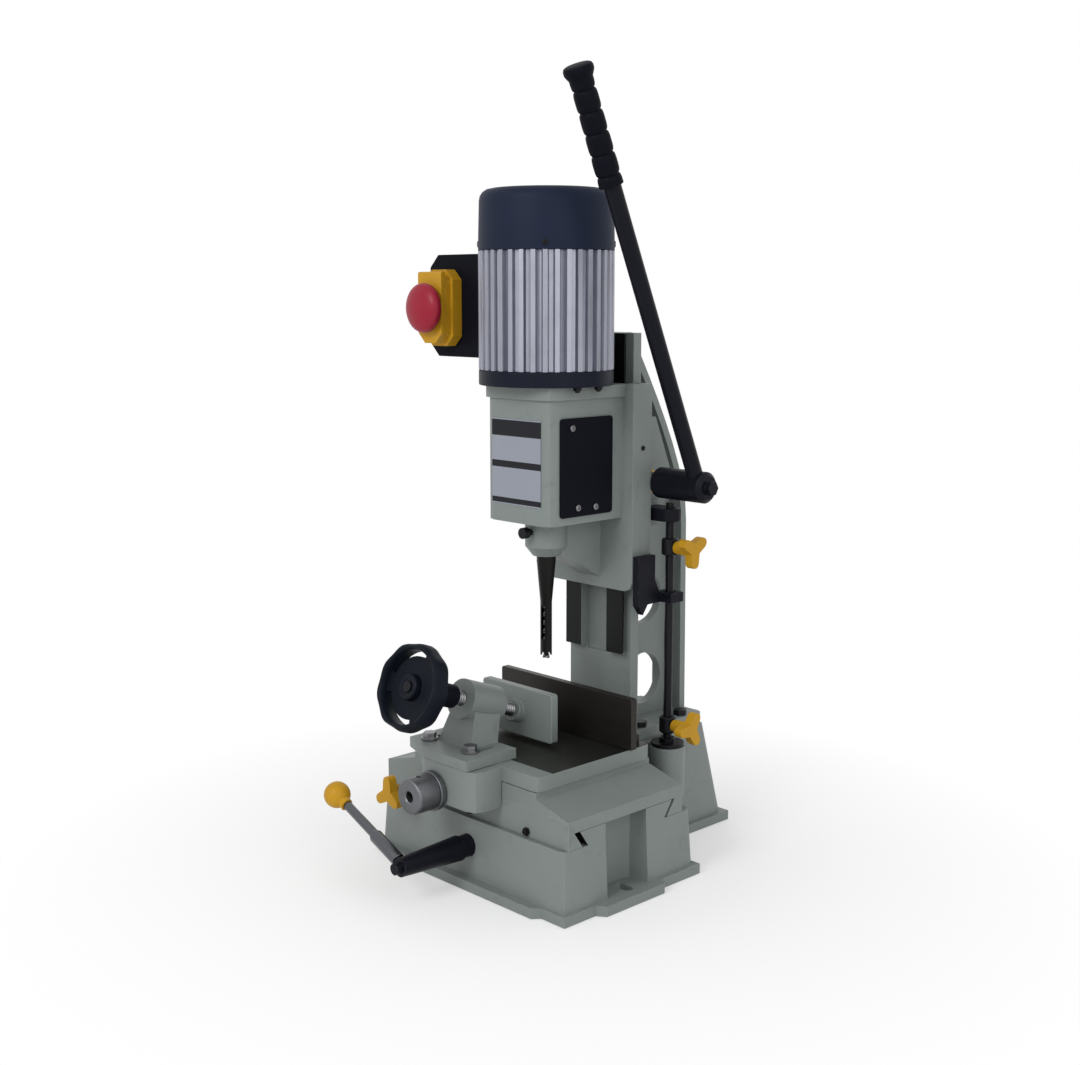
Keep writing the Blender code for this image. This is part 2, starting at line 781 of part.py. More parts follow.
def drafted(low, high, low_z, high_z, radius, corners=(1, 1, 1, 1)):
    """Cast block whose walls lean from one rectangle to another."""
    sections = []
    for (half_width, front, rear), height in ((low, low_z), (high, high_z)):
        outline = rounded(-half_width, half_width, front, rear, radius, corners)
        sections.append([(u, v, height) for u, v in outline])
    return loft(sections)


def base_casting():
    """Foot casting with the X way, the rack trough and the column's seat."""
    flange = prism(flange_outline(), 0, FLANGE_HEIGHT)
    inside_flange = FLANGE_HEIGHT / 2
    block = drafted(
        (BASE_FOOT_HALF_WIDTH, BASE_FOOT_FRONT_Y, BASE_FOOT_REAR_Y),
        (BASE_HALF_WIDTH, BASE_FRONT_Y, BASE_REAR_Y),
        inside_flange, BASE_SHOULDER_Z, BASE_CORNER)
    foot = drafted(
        (FOOT_HALF_WIDTH, FOOT_FRONT_Y, FOOT_REAR_Y),
        (FOOT_TOP_HALF_WIDTH, FOOT_FRONT_Y, FOOT_TOP_REAR_Y),
        inside_flange, FOOT_TOP_Z, BASE_CORNER, (0, 0, 1, 1))
    way_inside_z = BASE_SHOULDER_Z - BASE_DECK / 2
    way = prism([
        (WAY_FRONT_ROOT_Y, way_inside_z), (WAY_REAR_ROOT_Y, way_inside_z),
        (WAY_REAR_ROOT_Y, BASE_SHOULDER_Z), (WAY_REAR_TOP_Y, WAY_TOP_Z),
        (WAY_FRONT_TOP_Y, WAY_TOP_Z), (WAY_FRONT_ROOT_Y, BASE_SHOULDER_Z),
    ], -BASE_HALF_WIDTH, BASE_HALF_WIDTH, "X")
    boss = turned([
        (0, ROD_BOSS_TIP_Z), (ROD_BOSS_TIP_RADIUS, ROD_BOSS_TIP_Z),
        (ROD_BOSS_RADIUS, ROD_BOSS_SHOULDER_Z), (ROD_BOSS_RADIUS, FOOT_TOP_Z),
        (0, FOOT_TOP_Z)], (ROD_X, ROD_Y, 0))
    bridge = box((FOOT_TOP_HALF_WIDTH - BASE_WALL, ROD_Y - ROD_BOSS_RADIUS / 2, ROD_BOSS_SHOULDER_Z),
                 (ROD_X, ROD_Y + ROD_BOSS_RADIUS / 2, FOOT_TOP_Z))
    body = fuse(flange, block, foot, way, boss, bridge)

    deck_z = BASE_SHOULDER_Z - BASE_DECK
    inner_x = BASE_HALF_WIDTH - BASE_WALL
    front_hollow = box((-inner_x, BASE_FRONT_Y + BASE_WALL, -OVERRUN),
                       (inner_x, BEARING_RIB_FRONT_Y, deck_z))
    rear_hollow = box((-inner_x, BEARING_RIB_REAR_Y, -OVERRUN),
                      (inner_x, FOOT_FRONT_Y, deck_z))
    foot_hollow = drafted(
        (FOOT_HALF_WIDTH - BASE_WALL, FOOT_FRONT_Y + BASE_DECK, FOOT_REAR_Y - BASE_WALL),
        (FOOT_TOP_HALF_WIDTH - BASE_WALL, FOOT_FRONT_Y + BASE_DECK, FOOT_TOP_REAR_Y - BASE_WALL),
        -OVERRUN, FOOT_TOP_Z - BASE_DECK, BASE_CORNER)
    body = cut(body, front_hollow, rear_hollow, foot_hollow)

    backs = []
    pockets = []
    slots = []
    for side in (-1, 1):
        near, far = sorted((side * (POCKET_INNER_X - BASE_WALL), side * (BASE_HALF_WIDTH - FIT)))
        backs.append(box((near, POCKET_FRONT_Y - BASE_WALL, 0),
                         (far, POCKET_REAR_Y + BASE_WALL, BASE_SHOULDER_Z - FIT)))
        near, far = sorted((side * POCKET_INNER_X, side * (SIDE_LUG_HALF_WIDTH + OVERRUN)))
        outline = rounded(near, far, POCKET_FRONT_Y, POCKET_REAR_Y, POCKET_CORNER,
                          (1, 0, 0, 1) if side > 0 else (0, 1, 1, 0))
        pockets.append(prism(outline, FLANGE_HEIGHT, WAY_TOP_Z + OVERRUN))
        outline = slot((side * BOLT_SLOT_X, BOLT_SLOT_Y), BOLT_SLOT_LENGTH, BOLT_SLOT_WIDTH, "U")
        slots.append(prism(outline, -OVERRUN, FLANGE_HEIGHT + OVERRUN))
    body = fuse(body, *backs)
    trough = box((-TROUGH_HALF_LENGTH, TROUGH_FRONT_Y, deck_z - OVERRUN),
                 (TROUGH_HALF_LENGTH, TROUGH_REAR_Y, WAY_TOP_Z + OVERRUN))
    journal = bar(TRAVERSE_JOURNAL_RADIUS + FIT,
                  (0, FRONT_LUG_Y, TRAVERSE_Z), (0, TROUGH_FRONT_Y, TRAVERSE_Z))
    tail = bar(TRAVERSE_SHAFT_RADIUS + FIT,
               (0, TROUGH_FRONT_Y, TRAVERSE_Z), (0, BEARING_RIB_REAR_Y + OVERRUN, TRAVERSE_Z))
    socket = bar(ROD_RADIUS + FIT, (ROD_X, ROD_Y, FOOT_TOP_Z - ROD_SOCKET_DEPTH),
                 (ROD_X, ROD_Y, FOOT_TOP_Z + OVERRUN), ROUND_FINE)
    holes = [
        bar(COLUMN_BOLT_RADIUS + FIT, (x, y, FOOT_TOP_Z - BASE_DECK - OVERRUN),
            (x, y, FOOT_TOP_Z + OVERRUN), ROUND_FINE)
        for x, y in column_bolt_places()
    ]
    body = cut(body, *pockets, *slots, trough, journal, tail, socket, *holes)
    piece("base_casting", body, CAST_PAINT)


def column_bolt_places():
    """Centres of the four bolts that hold the column to its seat."""
    return [(side * COLUMN_BOLT_X, y) for y in (COLUMN_BOLT_FRONT_Y, COLUMN_BOLT_REAR_Y)
            for side in (-1, 1)]


def column_rear_profile(inset):
    """Rear edge of the column from its foot to its crest, in (Y, Z) pairs."""
    start = Vector((COLUMN_BEND_Y, COLUMN_BEND_Z))
    end = Vector((COLUMN_CREST_Y, COLUMN_TOP_Z))
    pull_low = start + Vector((0, COLUMN_BEND_PULL))
    pull_high = end + Vector((COLUMN_CREST_PULL_Y, -COLUMN_CREST_PULL_Z))
    points = []
    for step in range(COLUMN_BEND_STEPS + 1):
        t = step / COLUMN_BEND_STEPS
        place = ((1 - t) ** 3 * start + 3 * (1 - t) ** 2 * t * pull_low
                 + 3 * (1 - t) * t ** 2 * pull_high + t ** 3 * end)
        along = (3 * (1 - t) ** 2 * (pull_low - start) + 6 * (1 - t) * t * (pull_high - pull_low)
                 + 3 * t ** 2 * (end - pull_high)).normalized()
        inward = Vector((-along.y, along.x))
        points.append(tuple(place + inward * inset))
    seat_z = FOOT_TOP_Z + FIT + PLINTH_HEIGHT / 2
    return [(COLUMN_REAR_Y - inset, seat_z)] + points


def column_casting():
    """Upright with the vertical way, a pierced web and the pinion's housing."""
    seat_z = FOOT_TOP_Z + FIT
    plinth_outline = rounded(-PLINTH_HALF_WIDTH, PLINTH_HALF_WIDTH, PLINTH_FRONT_Y, PLINTH_REAR_Y,
                             PLINTH_CORNER)
    plinth = prism(plinth_outline, seat_z, seat_z + PLINTH_HEIGHT)
    plate = box((-COLUMN_HALF_WIDTH, COLUMN_FRONT_Y, seat_z + PLINTH_HEIGHT / 2),
                (COLUMN_HALF_WIDTH, COLUMN_FRONT_Y + COLUMN_PLATE, COLUMN_TOP_Z))
    plate_mid_y = COLUMN_FRONT_Y + COLUMN_PLATE / 2
    way = prism([
        (-RISE_HALF_WIDTH, RISE_FRONT_Y), (RISE_HALF_WIDTH, RISE_FRONT_Y),
        (RISE_ROOT_HALF_WIDTH, COLUMN_FRONT_Y), (RISE_ROOT_HALF_WIDTH, plate_mid_y),
        (-RISE_ROOT_HALF_WIDTH, plate_mid_y), (-RISE_ROOT_HALF_WIDTH, COLUMN_FRONT_Y),
    ], RISE_BOTTOM_Z, COLUMN_TOP_Z)
    inner = column_rear_profile(COLUMN_FLANGE / 2)
    web_outline = [(plate_mid_y, inner[0][1])] + inner + [(plate_mid_y, inner[-1][1])]
    web = prism(web_outline, -COLUMN_WEB / 2, COLUMN_WEB / 2, "X")
    outer = column_rear_profile(0)
    inner = column_rear_profile(COLUMN_FLANGE)
    crest = [(plate_mid_y, COLUMN_TOP_Z), (plate_mid_y, COLUMN_TOP_Z - COLUMN_FLANGE)]
    flange = prism(outer + crest + list(reversed(inner)),
                   -COLUMN_FLANGE_HALF_WIDTH, COLUMN_FLANGE_HALF_WIDTH, "X")
    housing = prism([(HOUSING_FRONT_Y, FEED_Z - HOUSING_RADIUS)]
                    + arc((FEED_Y, FEED_Z), HOUSING_RADIUS, -math.pi / 2, HOUSING_ARC, 4 * CORNER_STEPS)
                    + [(HOUSING_CREST_Y, HOUSING_TOP_Z), (HOUSING_FRONT_Y, HOUSING_TOP_Z)],
                    HOUSING_LEFT_X, HOUSING_RIGHT_X, "X")
    pad = box((0, ARM_PAD_FRONT_Y, ARM_PAD_BOTTOM_Z),
              (ARM_PAD_RIGHT_X, ARM_PAD_REAR_Y, ARM_PAD_TOP_Z))
    body = fuse(plinth, plate, way, web, flange, housing, pad)

    channel = box((-RISE_CHANNEL_HALF_WIDTH, RISE_FRONT_Y - OVERRUN, RISE_BOTTOM_Z - OVERRUN),
                  (RISE_CHANNEL_HALF_WIDTH, RISE_FRONT_Y + RISE_CHANNEL_DEPTH,
                   COLUMN_TOP_Z + OVERRUN))
    room = (GEAR_WIDTH / 2) + 2 * FIT
    gear_room = bar(gear_tip_radius() + 2 * FIT, (-room, FEED_Y, FEED_Z), (room, FEED_Y, FEED_Z))
    shaft_bore = bar(FEED_SHAFT_RADIUS + FIT, (HOUSING_LEFT_X - OVERRUN, FEED_Y, FEED_Z),
                     (HOUSING_RIGHT_X + OVERRUN, FEED_Y, FEED_Z))
    bush_seat = bar(FEED_SHAFT_RADIUS + FEED_BUSH_WALL,
                    (HOUSING_RIGHT_X - FEED_BUSH_DEPTH, FEED_Y, FEED_Z),
                    (HOUSING_RIGHT_X + OVERRUN, FEED_Y, FEED_Z))
    web_holes = [
        bar(WEB_HOLE_RADIUS, (-COLUMN_WEB, WEB_HOLE_Y, WEB_HOLE_LOW_Z + step * WEB_HOLE_PITCH),
            (COLUMN_WEB, WEB_HOLE_Y, WEB_HOLE_LOW_Z + step * WEB_HOLE_PITCH), ROUND_LARGE)
        for step in range(2)
    ]
    bolt_holes = [
        bar(COLUMN_BOLT_RADIUS + FIT, (x, y, seat_z - OVERRUN),
            (x, y, seat_z + PLINTH_HEIGHT + OVERRUN), ROUND_FINE)
        for x, y in column_bolt_places()
    ]
    body = cut(body, channel, gear_room, shaft_bore, bush_seat, *web_holes, *bolt_holes)
    piece("column_casting", body, CAST_PAINT)


def column_bolts():
    """Hexagon bolts through the column's plinth."""
    head_z = FOOT_TOP_Z + FIT + PLINTH_HEIGHT + FIT
    for number, (x, y) in enumerate(column_bolt_places(), 1):
        head = prism(moved(hexagon(COLUMN_BOLT_HEAD_RADIUS), x, y), head_z, head_z + COLUMN_BOLT_HEAD)
        shank = bar(COLUMN_BOLT_RADIUS, (x, y, head_z - COLUMN_BOLT_LENGTH),
                    (x, y, head_z + COLUMN_BOLT_HEAD / 2), ROUND_FINE)
        piece(f"column_bolt_{number}", fuse(head, shank), BLACK_OXIDE)


def gear_pitch_radius():
    """Pitch radius that the tooth count and the module give."""
    return GEAR_TEETH * GEAR_MODULE / 2


def gear_tip_radius():
    """Radius over the tooth tips."""
    return gear_pitch_radius() + GEAR_ADDENDUM


def involute_turn(radius, base_radius):
    """Polar angle of the involute at a radius."""
    if radius <= base_radius:
        return 0
    slope = math.sqrt((radius / base_radius) ** 2 - 1)
    return slope - math.atan(slope)


def gear_outline(phase):
    """Involute gear outline about zero with a gap centred on the phase angle."""
    pitch_radius = gear_pitch_radius()
    base_radius = pitch_radius * math.cos(PRESSURE_ANGLE)
    root_radius = pitch_radius - GEAR_DEDENDUM
    tip_radius = gear_tip_radius()
    pitch_turn = involute_turn(pitch_radius, base_radius)
    half_tooth = math.pi / (2 * GEAR_TEETH) - GEAR_BACKLASH / (2 * pitch_radius)
    radii = [root_radius] + [
        max(base_radius, root_radius) + (tip_radius - max(base_radius, root_radius)) * step / GEAR_FLANK_STEPS
        for step in range(GEAR_FLANK_STEPS + 1)
    ]
    outline = []
    for tooth in range(GEAR_TEETH):
        middle = phase + math.tau * (tooth + 0.5) / GEAR_TEETH
        spread = [half_tooth + pitch_turn - involute_turn(radius, base_radius) for radius in radii]
        outline += [(r * math.cos(middle - s), r * math.sin(middle - s)) for r, s in zip(radii, spread)]
        flank = list(zip(radii, spread))
        outline += [(r * math.cos(middle + s), r * math.sin(middle + s)) for r, s in reversed(flank)]
    return outline


def rack_outline(start, pitches, back):
    """Rack of whole pitches along U with its teeth down at V = 0 pitch line."""
    pitch = math.pi * GEAR_MODULE
    half = pitch / 4 - GEAR_BACKLASH / 4
    slope = math.tan(PRESSURE_ANGLE)
    top = half - GEAR_ADDENDUM * slope
    root = half + GEAR_DEDENDUM * slope
    outline = [(start, back), (start, GEAR_DEDENDUM)]
    for count in range(pitches):
        middle = start + (count + 0.5) * pitch
        outline += [(middle - root, GEAR_DEDENDUM), (middle - top, -GEAR_ADDENDUM),
                    (middle + top, -GEAR_ADDENDUM), (middle + root, GEAR_DEDENDUM)]
    end = start + pitches * pitch
    return outline + [(end, GEAR_DEDENDUM), (end, back)]


def depth_rod():
    """Vertical rod of the depth stop with its plate, nut and top arm."""
    seat = FOOT_TOP_Z + FIT
    piece("depth_rod", bar(ROD_RADIUS, (ROD_X, ROD_Y, FOOT_TOP_Z - ROD_SOCKET_DEPTH + FIT),
                           (ROD_X, ROD_Y, ROD_TOP_Z), ROUND_FINE), BLACK_OXIDE)
    plate = turned([(ROD_RADIUS + FIT, 0), (ROD_PLATE_RADIUS, 0),
                    (ROD_PLATE_RADIUS, ROD_PLATE), (ROD_RADIUS + FIT, ROD_PLATE)],
                   (ROD_X, ROD_Y, seat))
    nut = prism(moved(hexagon(ROD_NUT_RADIUS), ROD_X, ROD_Y),
                seat + ROD_PLATE / 2, seat + ROD_PLATE + ROD_NUT)
    bore = bar(ROD_RADIUS + FIT, (ROD_X, ROD_Y, seat - OVERRUN),
               (ROD_X, ROD_Y, seat + ROD_PLATE + ROD_NUT + OVERRUN))
    nut = cut(nut, bore)
    piece("depth_rod_nut", fuse(plate, nut), BLACK_OXIDE)

    end_radius = (ROD_ARM_REAR_Y - ROD_ARM_FRONT_Y) / 2
    arm = prism([(ROD_ARM_LEFT_GAP_X, ROD_ARM_FRONT_Y)]
                + arc((ROD_ARM_RIGHT_X - end_radius, ROD_Y), end_radius, -math.pi / 2, math.pi,
                      4 * CORNER_STEPS)
                + [(ROD_ARM_LEFT_GAP_X, ROD_ARM_REAR_Y)], ROD_ARM_BOTTOM_Z, ROD_ARM_TOP_Z)
    bore = bar(ROD_RADIUS + FIT, (ROD_X, ROD_Y, ROD_ARM_BOTTOM_Z - OVERRUN),
               (ROD_X, ROD_Y, ROD_ARM_TOP_Z + OVERRUN), ROUND_FINE)
    piece("depth_rod_arm", cut(arm, bore), BLACK_PAINT)


def lobed_knob(centre, direction, spin, stud_length):
    """Three-lobed clamp knob with its collar and stud along a direction."""
    outline = []
    for lobe in range(KNOB_LOBES):
        angle = math.tau * lobe / KNOB_LOBES
        reach = KNOB_RADIUS - KNOB_LOBE_RADIUS
        tip = (reach * math.cos(angle), reach * math.sin(angle))
        outline += arc(tip, KNOB_LOBE_RADIUS, angle - math.pi / 2, math.pi, KNOB_STEPS // 2)
        between = angle + math.pi / KNOB_LOBES
        outline.append((KNOB_WAIST_RADIUS * math.cos(between), KNOB_WAIST_RADIUS * math.sin(between)))
    head = prism(outline, KNOB_COLLAR, KNOB_COLLAR + KNOB_THICKNESS)
    stem = turned([
        (0, -stud_length), (KNOB_STUD_RADIUS, -stud_length), (KNOB_STUD_RADIUS, 0),
        (KNOB_COLLAR_RADIUS, 0), (KNOB_NECK_RADIUS, KNOB_COLLAR + KNOB_THICKNESS / 2),
        (0, KNOB_COLLAR + KNOB_THICKNESS / 2)], segments=ROUND_FINE)
    knob = fuse(head, stem)
    knob.transform(frame_on(centre, direction) @ Matrix.Rotation(spin, 4, "Z"))
    return knob


def stop_collar(name, low_z):
    """Stop collar on the depth rod and the knob that clamps it."""
    middle_z = low_z + COLLAR_HEIGHT / 2
    carrier = joint_frame(name + "_slide", (ROD_X, ROD_Y, middle_z))
    collar = turned([
        (ROD_RADIUS + FIT, 0), (COLLAR_RADIUS - COLLAR_CHAMFER, 0), (COLLAR_RADIUS, COLLAR_CHAMFER),
        (COLLAR_RADIUS, COLLAR_HEIGHT - COLLAR_CHAMFER), (COLLAR_RADIUS - COLLAR_CHAMFER, COLLAR_HEIGHT),
        (ROD_RADIUS + FIT, COLLAR_HEIGHT)], (ROD_X, ROD_Y, low_z))
    tapping = bar(KNOB_STUD_RADIUS + FIT, (ROD_X, ROD_Y, middle_z),
                  (ROD_X + COLLAR_RADIUS + OVERRUN, ROD_Y, middle_z), ROUND_FINE)
    piece(name, cut(collar, tapping), BLACK_OXIDE, carrier)
    knob_x = ROD_X + COLLAR_RADIUS + FIT
    turner = joint_frame(name + "_knob_turn", (knob_x, ROD_Y, middle_z), carrier)
    stud = COLLAR_RADIUS - ROD_RADIUS - FIT
    knob = lobed_knob((knob_x, ROD_Y, middle_z), (1, 0, 0), math.pi, stud)
    piece(name + "_knob", knob, YELLOW_PLASTIC, turner)


def rise_groove():
    """Groove in the slide for the vertical way, its gib and the column's plate."""
    clear_y = COLUMN_FRONT_Y - FIT
    wide = RISE_HALF_WIDTH + FIT
    root = RISE_ROOT_HALF_WIDTH + FIT
    side = COLUMN_HALF_WIDTH + FIT
    front = RISE_FRONT_Y - FIT
    return prism([
        (-wide, front), (wide + GIB_THICKNESS, front), (root + GIB_THICKNESS, clear_y),
        (side, clear_y), (side, SLIDE_REAR_Y + OVERRUN), (-side, SLIDE_REAR_Y + OVERRUN),
        (-side, clear_y), (-root, clear_y),
    ], SLIDE_BOTTOM_Z - OVERRUN, HEAD_TOP_Z + OVERRUN)


def head_casting(head):
    """Slide, chuck housing and chisel socket in one casting."""
    slide = prism(rounded(-SLIDE_HALF_WIDTH, SLIDE_HALF_WIDTH, SLIDE_BOTTOM_Z, HEAD_TOP_Z,
                          SLIDE_CORNER, (1, 1, 0, 0)), SLIDE_FRONT_Y, SLIDE_REAR_Y, "Y")
    inside_y = SLIDE_FRONT_Y + FIT * 2
    housing = prism(rounded(-HEAD_BOX_HALF_WIDTH, HEAD_BOX_HALF_WIDTH, HEAD_BOX_FRONT_Y, inside_y,
                            HEAD_BOX_CORNER, (1, 1, 0, 0)), HEAD_BOX_BOTTOM_Z, HEAD_TOP_Z - FIT)
    rim = prism(rounded(-HEAD_BOX_HALF_WIDTH - HEAD_RIM, HEAD_BOX_HALF_WIDTH + HEAD_RIM,
                        HEAD_BOX_FRONT_Y - HEAD_RIM, inside_y, HEAD_RIM_CORNER, (1, 1, 0, 0)),
                HEAD_TOP_Z - HEAD_RIM_HEIGHT, HEAD_TOP_Z)
    boss = turned([
        (0, CHISEL_BOSS_BOTTOM_Z), (CHISEL_BOSS_NOSE_RADIUS, CHISEL_BOSS_BOTTOM_Z),
        (CHISEL_BOSS_RADIUS, CHISEL_BOSS_SHOULDER_Z),
        (CHISEL_BOSS_RADIUS, HEAD_BOX_BOTTOM_Z + HEAD_BOX_FLOOR / 2),
        (0, HEAD_BOX_BOTTOM_Z + HEAD_BOX_FLOOR / 2)], segments=ROUND_LARGE)
    rib = prism([
        (0, CHISEL_RIB_BOTTOM_Z), (inside_y, SLIDE_BOTTOM_Z + SLIDE_CORNER),
        (inside_y, HEAD_BOX_BOTTOM_Z + HEAD_BOX_FLOOR / 2),
        (0, HEAD_BOX_BOTTOM_Z + HEAD_BOX_FLOOR / 2)],
        -CHISEL_RIB_HALF_WIDTH, CHISEL_RIB_HALF_WIDTH, "X")
    body = fuse(slide, housing, rim, boss, rib)

    inner_x = HEAD_BOX_HALF_WIDTH - HEAD_BOX_WALL
    hollow = prism(rounded(-inner_x, inner_x, HEAD_BOX_FRONT_Y + HEAD_BOX_WALL, HEAD_BOX_REAR_Y,
                           HEAD_BOX_CORNER - HEAD_BOX_WALL / 2, (1, 1, 1, 1)),
                   HEAD_BOX_BOTTOM_Z + HEAD_BOX_FLOOR, HEAD_TOP_Z - HEAD_ROOF)
    spigot_seat = bar(SPIGOT_RADIUS, (0, 0, HEAD_TOP_Z - HEAD_ROOF - OVERRUN),
                      (0, 0, HEAD_TOP_Z + OVERRUN), ROUND_LARGE)
    window = prism(rounded(COVER_FRONT_Y + WINDOW_MARGIN, COVER_REAR_Y - WINDOW_MARGIN,
                           COVER_BOTTOM_Z + WINDOW_MARGIN, COVER_TOP_Z - WINDOW_MARGIN,
                           WINDOW_CORNER), inner_x - OVERRUN, HEAD_BOX_HALF_WIDTH + OVERRUN, "X")
    chisel_seat = bar(CHISEL_SHANK_RADIUS + FIT, (0, 0, CHISEL_BOSS_BOTTOM_Z - OVERRUN),
                      (0, 0, CHISEL_TOP_Z + FIT))
    passage = bar(BIT_PASSAGE_RADIUS, (0, 0, CHISEL_TOP_Z - OVERRUN),
                  (0, 0, HEAD_BOX_BOTTOM_Z + HEAD_BOX_FLOOR + OVERRUN), ROUND_FINE)
    tapping = bar(LOCK_SCREW_RADIUS + FIT, (0, -CHISEL_BOSS_RADIUS - OVERRUN, LOCK_SCREW_Z),
                  (0, 0, LOCK_SCREW_Z), ROUND_FINE)
    body = cut(body, rise_groove(), hollow, spigot_seat, window, chisel_seat, passage, tapping)
    piece("head_casting", body, CAST_PAINT, head)


def head_fittings(head):
    """Rack, gib, stop arm, chuck cover and chisel screw on the head."""
    pitch = math.pi * GEAR_MODULE
    low = FEED_Z + pitch * round((HEAD_RACK_BOTTOM_Z - FEED_Z) / pitch) - pitch / 2
    pitch_y = FEED_Y - gear_pitch_radius()
    back = pitch_y - RISE_FRONT_Y
    outline = [(pitch_y - v, u) for u, v in rack_outline(low, HEAD_RACK_PITCHES, back)]
    piece("head_rack", prism(outline, -RACK_HALF_WIDTH, RACK_HALF_WIDTH, "X"), BRIGHT_STEEL, head)

    wide = RISE_HALF_WIDTH + 2 * FIT
    root = RISE_ROOT_HALF_WIDTH + 2 * FIT
    thick = GIB_THICKNESS - 2 * FIT
    gib = prism([(wide, RISE_FRONT_Y), (wide + thick, RISE_FRONT_Y),
                 (root + thick, COLUMN_FRONT_Y - 2 * FIT), (root, COLUMN_FRONT_Y - 2 * FIT)],
                SLIDE_BOTTOM_Z + GIB_END_SHORTFALL, HEAD_TOP_Z - GIB_END_SHORTFALL)
    piece("head_gib", gib, BRIGHT_STEEL, head)

    face_x = SLIDE_HALF_WIDTH + FIT
    side = prism([
        (STOP_ARM_FRONT_Y, STOP_TAB_BOTTOM_Z), (STOP_ARM_FRONT_Y + STOP_ARM_TAIL / 2, STOP_ARM_BOTTOM_Z),
        (STOP_ARM_FRONT_Y + STOP_ARM_TAIL, STOP_TAB_BOTTOM_Z), (STOP_TAB_REAR_Y, STOP_TAB_BOTTOM_Z),
        (STOP_TAB_REAR_Y, STOP_TAB_TOP_Z), (STOP_ARM_REAR_Y + STOP_ARM_TAIL / 2, STOP_TAB_TOP_Z),
        (STOP_ARM_REAR_Y, STOP_TAB_TOP_Z + STOP_ARM_TAIL), (STOP_ARM_REAR_Y, STOP_ARM_TOP_Z),
        (STOP_ARM_FRONT_Y, STOP_ARM_TOP_Z)], face_x, face_x + STOP_ARM_THICKNESS, "X")
    tab = box((face_x, ROD_Y - COLLAR_RADIUS - FIT, STOP_TAB_BOTTOM_Z + FIT / 2),
              (STOP_TAB_RIGHT_X, STOP_TAB_REAR_Y - FIT / 2, STOP_TAB_TOP_Z - FIT / 2))
    hole = bar(ROD_RADIUS + STOP_TAB_CLEARANCE, (ROD_X, ROD_Y, STOP_TAB_BOTTOM_Z - OVERRUN),
               (ROD_X, ROD_Y, STOP_TAB_TOP_Z + OVERRUN), ROUND_FINE)
    piece("head_stop_arm", cut(fuse(side, tab), hole), BLACK_PAINT, head)

    cover_x = HEAD_BOX_HALF_WIDTH + FIT
    cover = prism(rounded(COVER_FRONT_Y, COVER_REAR_Y, COVER_BOTTOM_Z, COVER_TOP_Z, COVER_CORNER),
                  cover_x, cover_x + COVER_THICKNESS, "X")
    piece("chuck_cover", cover, BLACK_PLASTIC, head)

    screw_y = -CHISEL_BOSS_RADIUS - LOCK_SCREW_STANDOFF
    screw = turned([
        (0, 0), (LOCK_SCREW_RADIUS, 0), (LOCK_SCREW_RADIUS, -screw_y - CHISEL_SHANK_RADIUS - FIT),
        (LOCK_SCREW_HEAD_RADIUS, -screw_y - CHISEL_SHANK_RADIUS - FIT),
        (LOCK_SCREW_HEAD_RADIUS, -screw_y - CHISEL_SHANK_RADIUS - FIT + LOCK_SCREW_HEAD),
        (0, -screw_y - CHISEL_SHANK_RADIUS - FIT + LOCK_SCREW_HEAD)],
        (0, -CHISEL_SHANK_RADIUS - FIT, LOCK_SCREW_Z), (0, -1, 0), ROUND_FINE)
    piece("chisel_lock_screw", screw, BLACK_OXIDE, head)


def square_ring(half_side, height):
    """Ring of sixteen points round a square, as many as a fine circle has."""
    ring = []
    for step in range(ROUND_FINE):
        angle = math.tau * step / ROUND_FINE
        reach = half_side / max(abs(math.cos(angle)), abs(math.sin(angle)))
        ring.append((reach * math.cos(angle), reach * math.sin(angle), height))
    return ring


def round_ring(radius, height, spin=0.0, segments=ROUND_FINE):
    """Ring of points round a circle."""
    return [(radius * math.cos(math.tau * k / segments + spin),
             radius * math.sin(math.tau * k / segments + spin), height) for k in range(segments)]


def hollow_chisel(head):
    """Square hollow chisel with its round shank, chip window and four points."""
    body = loft([
        square_ring(CHISEL_HALF_SIDE, CHISEL_TIP_Z),
        square_ring(CHISEL_HALF_SIDE, CHISEL_TAPER_BOTTOM_Z),
        round_ring(CHISEL_SHANK_RADIUS, CHISEL_TAPER_TOP_Z),
        round_ring(CHISEL_SHANK_RADIUS, CHISEL_TOP_Z),
    ])
    bore = bar(CHISEL_BORE_RADIUS, (0, 0, CHISEL_TIP_Z - OVERRUN), (0, 0, CHISEL_TOP_Z + OVERRUN),
               ROUND_FINE)
    mouths = []
    for direction in ((1, 0, 0), (0, 1, 0)):
        across = Vector(direction)
        side = Vector((across.y, across.x, 0)) * CHISEL_HALF_SIDE
        low = Vector((0, 0, CHISEL_TIP_Z - CHISEL_BEVEL / 2))
        peak = Vector((0, 0, CHISEL_TIP_Z + CHISEL_BEVEL))
        reach = across * (CHISEL_HALF_SIDE + OVERRUN)
        mouths.append(loft([
            [tuple(low - side - reach), tuple(low + side - reach), tuple(peak - reach)],
            [tuple(low - side + reach), tuple(low + side + reach), tuple(peak + reach)]]))
    window = box((-CHISEL_WINDOW_WIDTH / 2, -CHISEL_HALF_SIDE - OVERRUN, CHISEL_WINDOW_BOTTOM_Z),
                 (CHISEL_WINDOW_WIDTH / 2, 0, CHISEL_WINDOW_TOP_Z))
    piece("hollow_chisel", cut(body, bore, *mouths, window), DARK_STEEL, head)


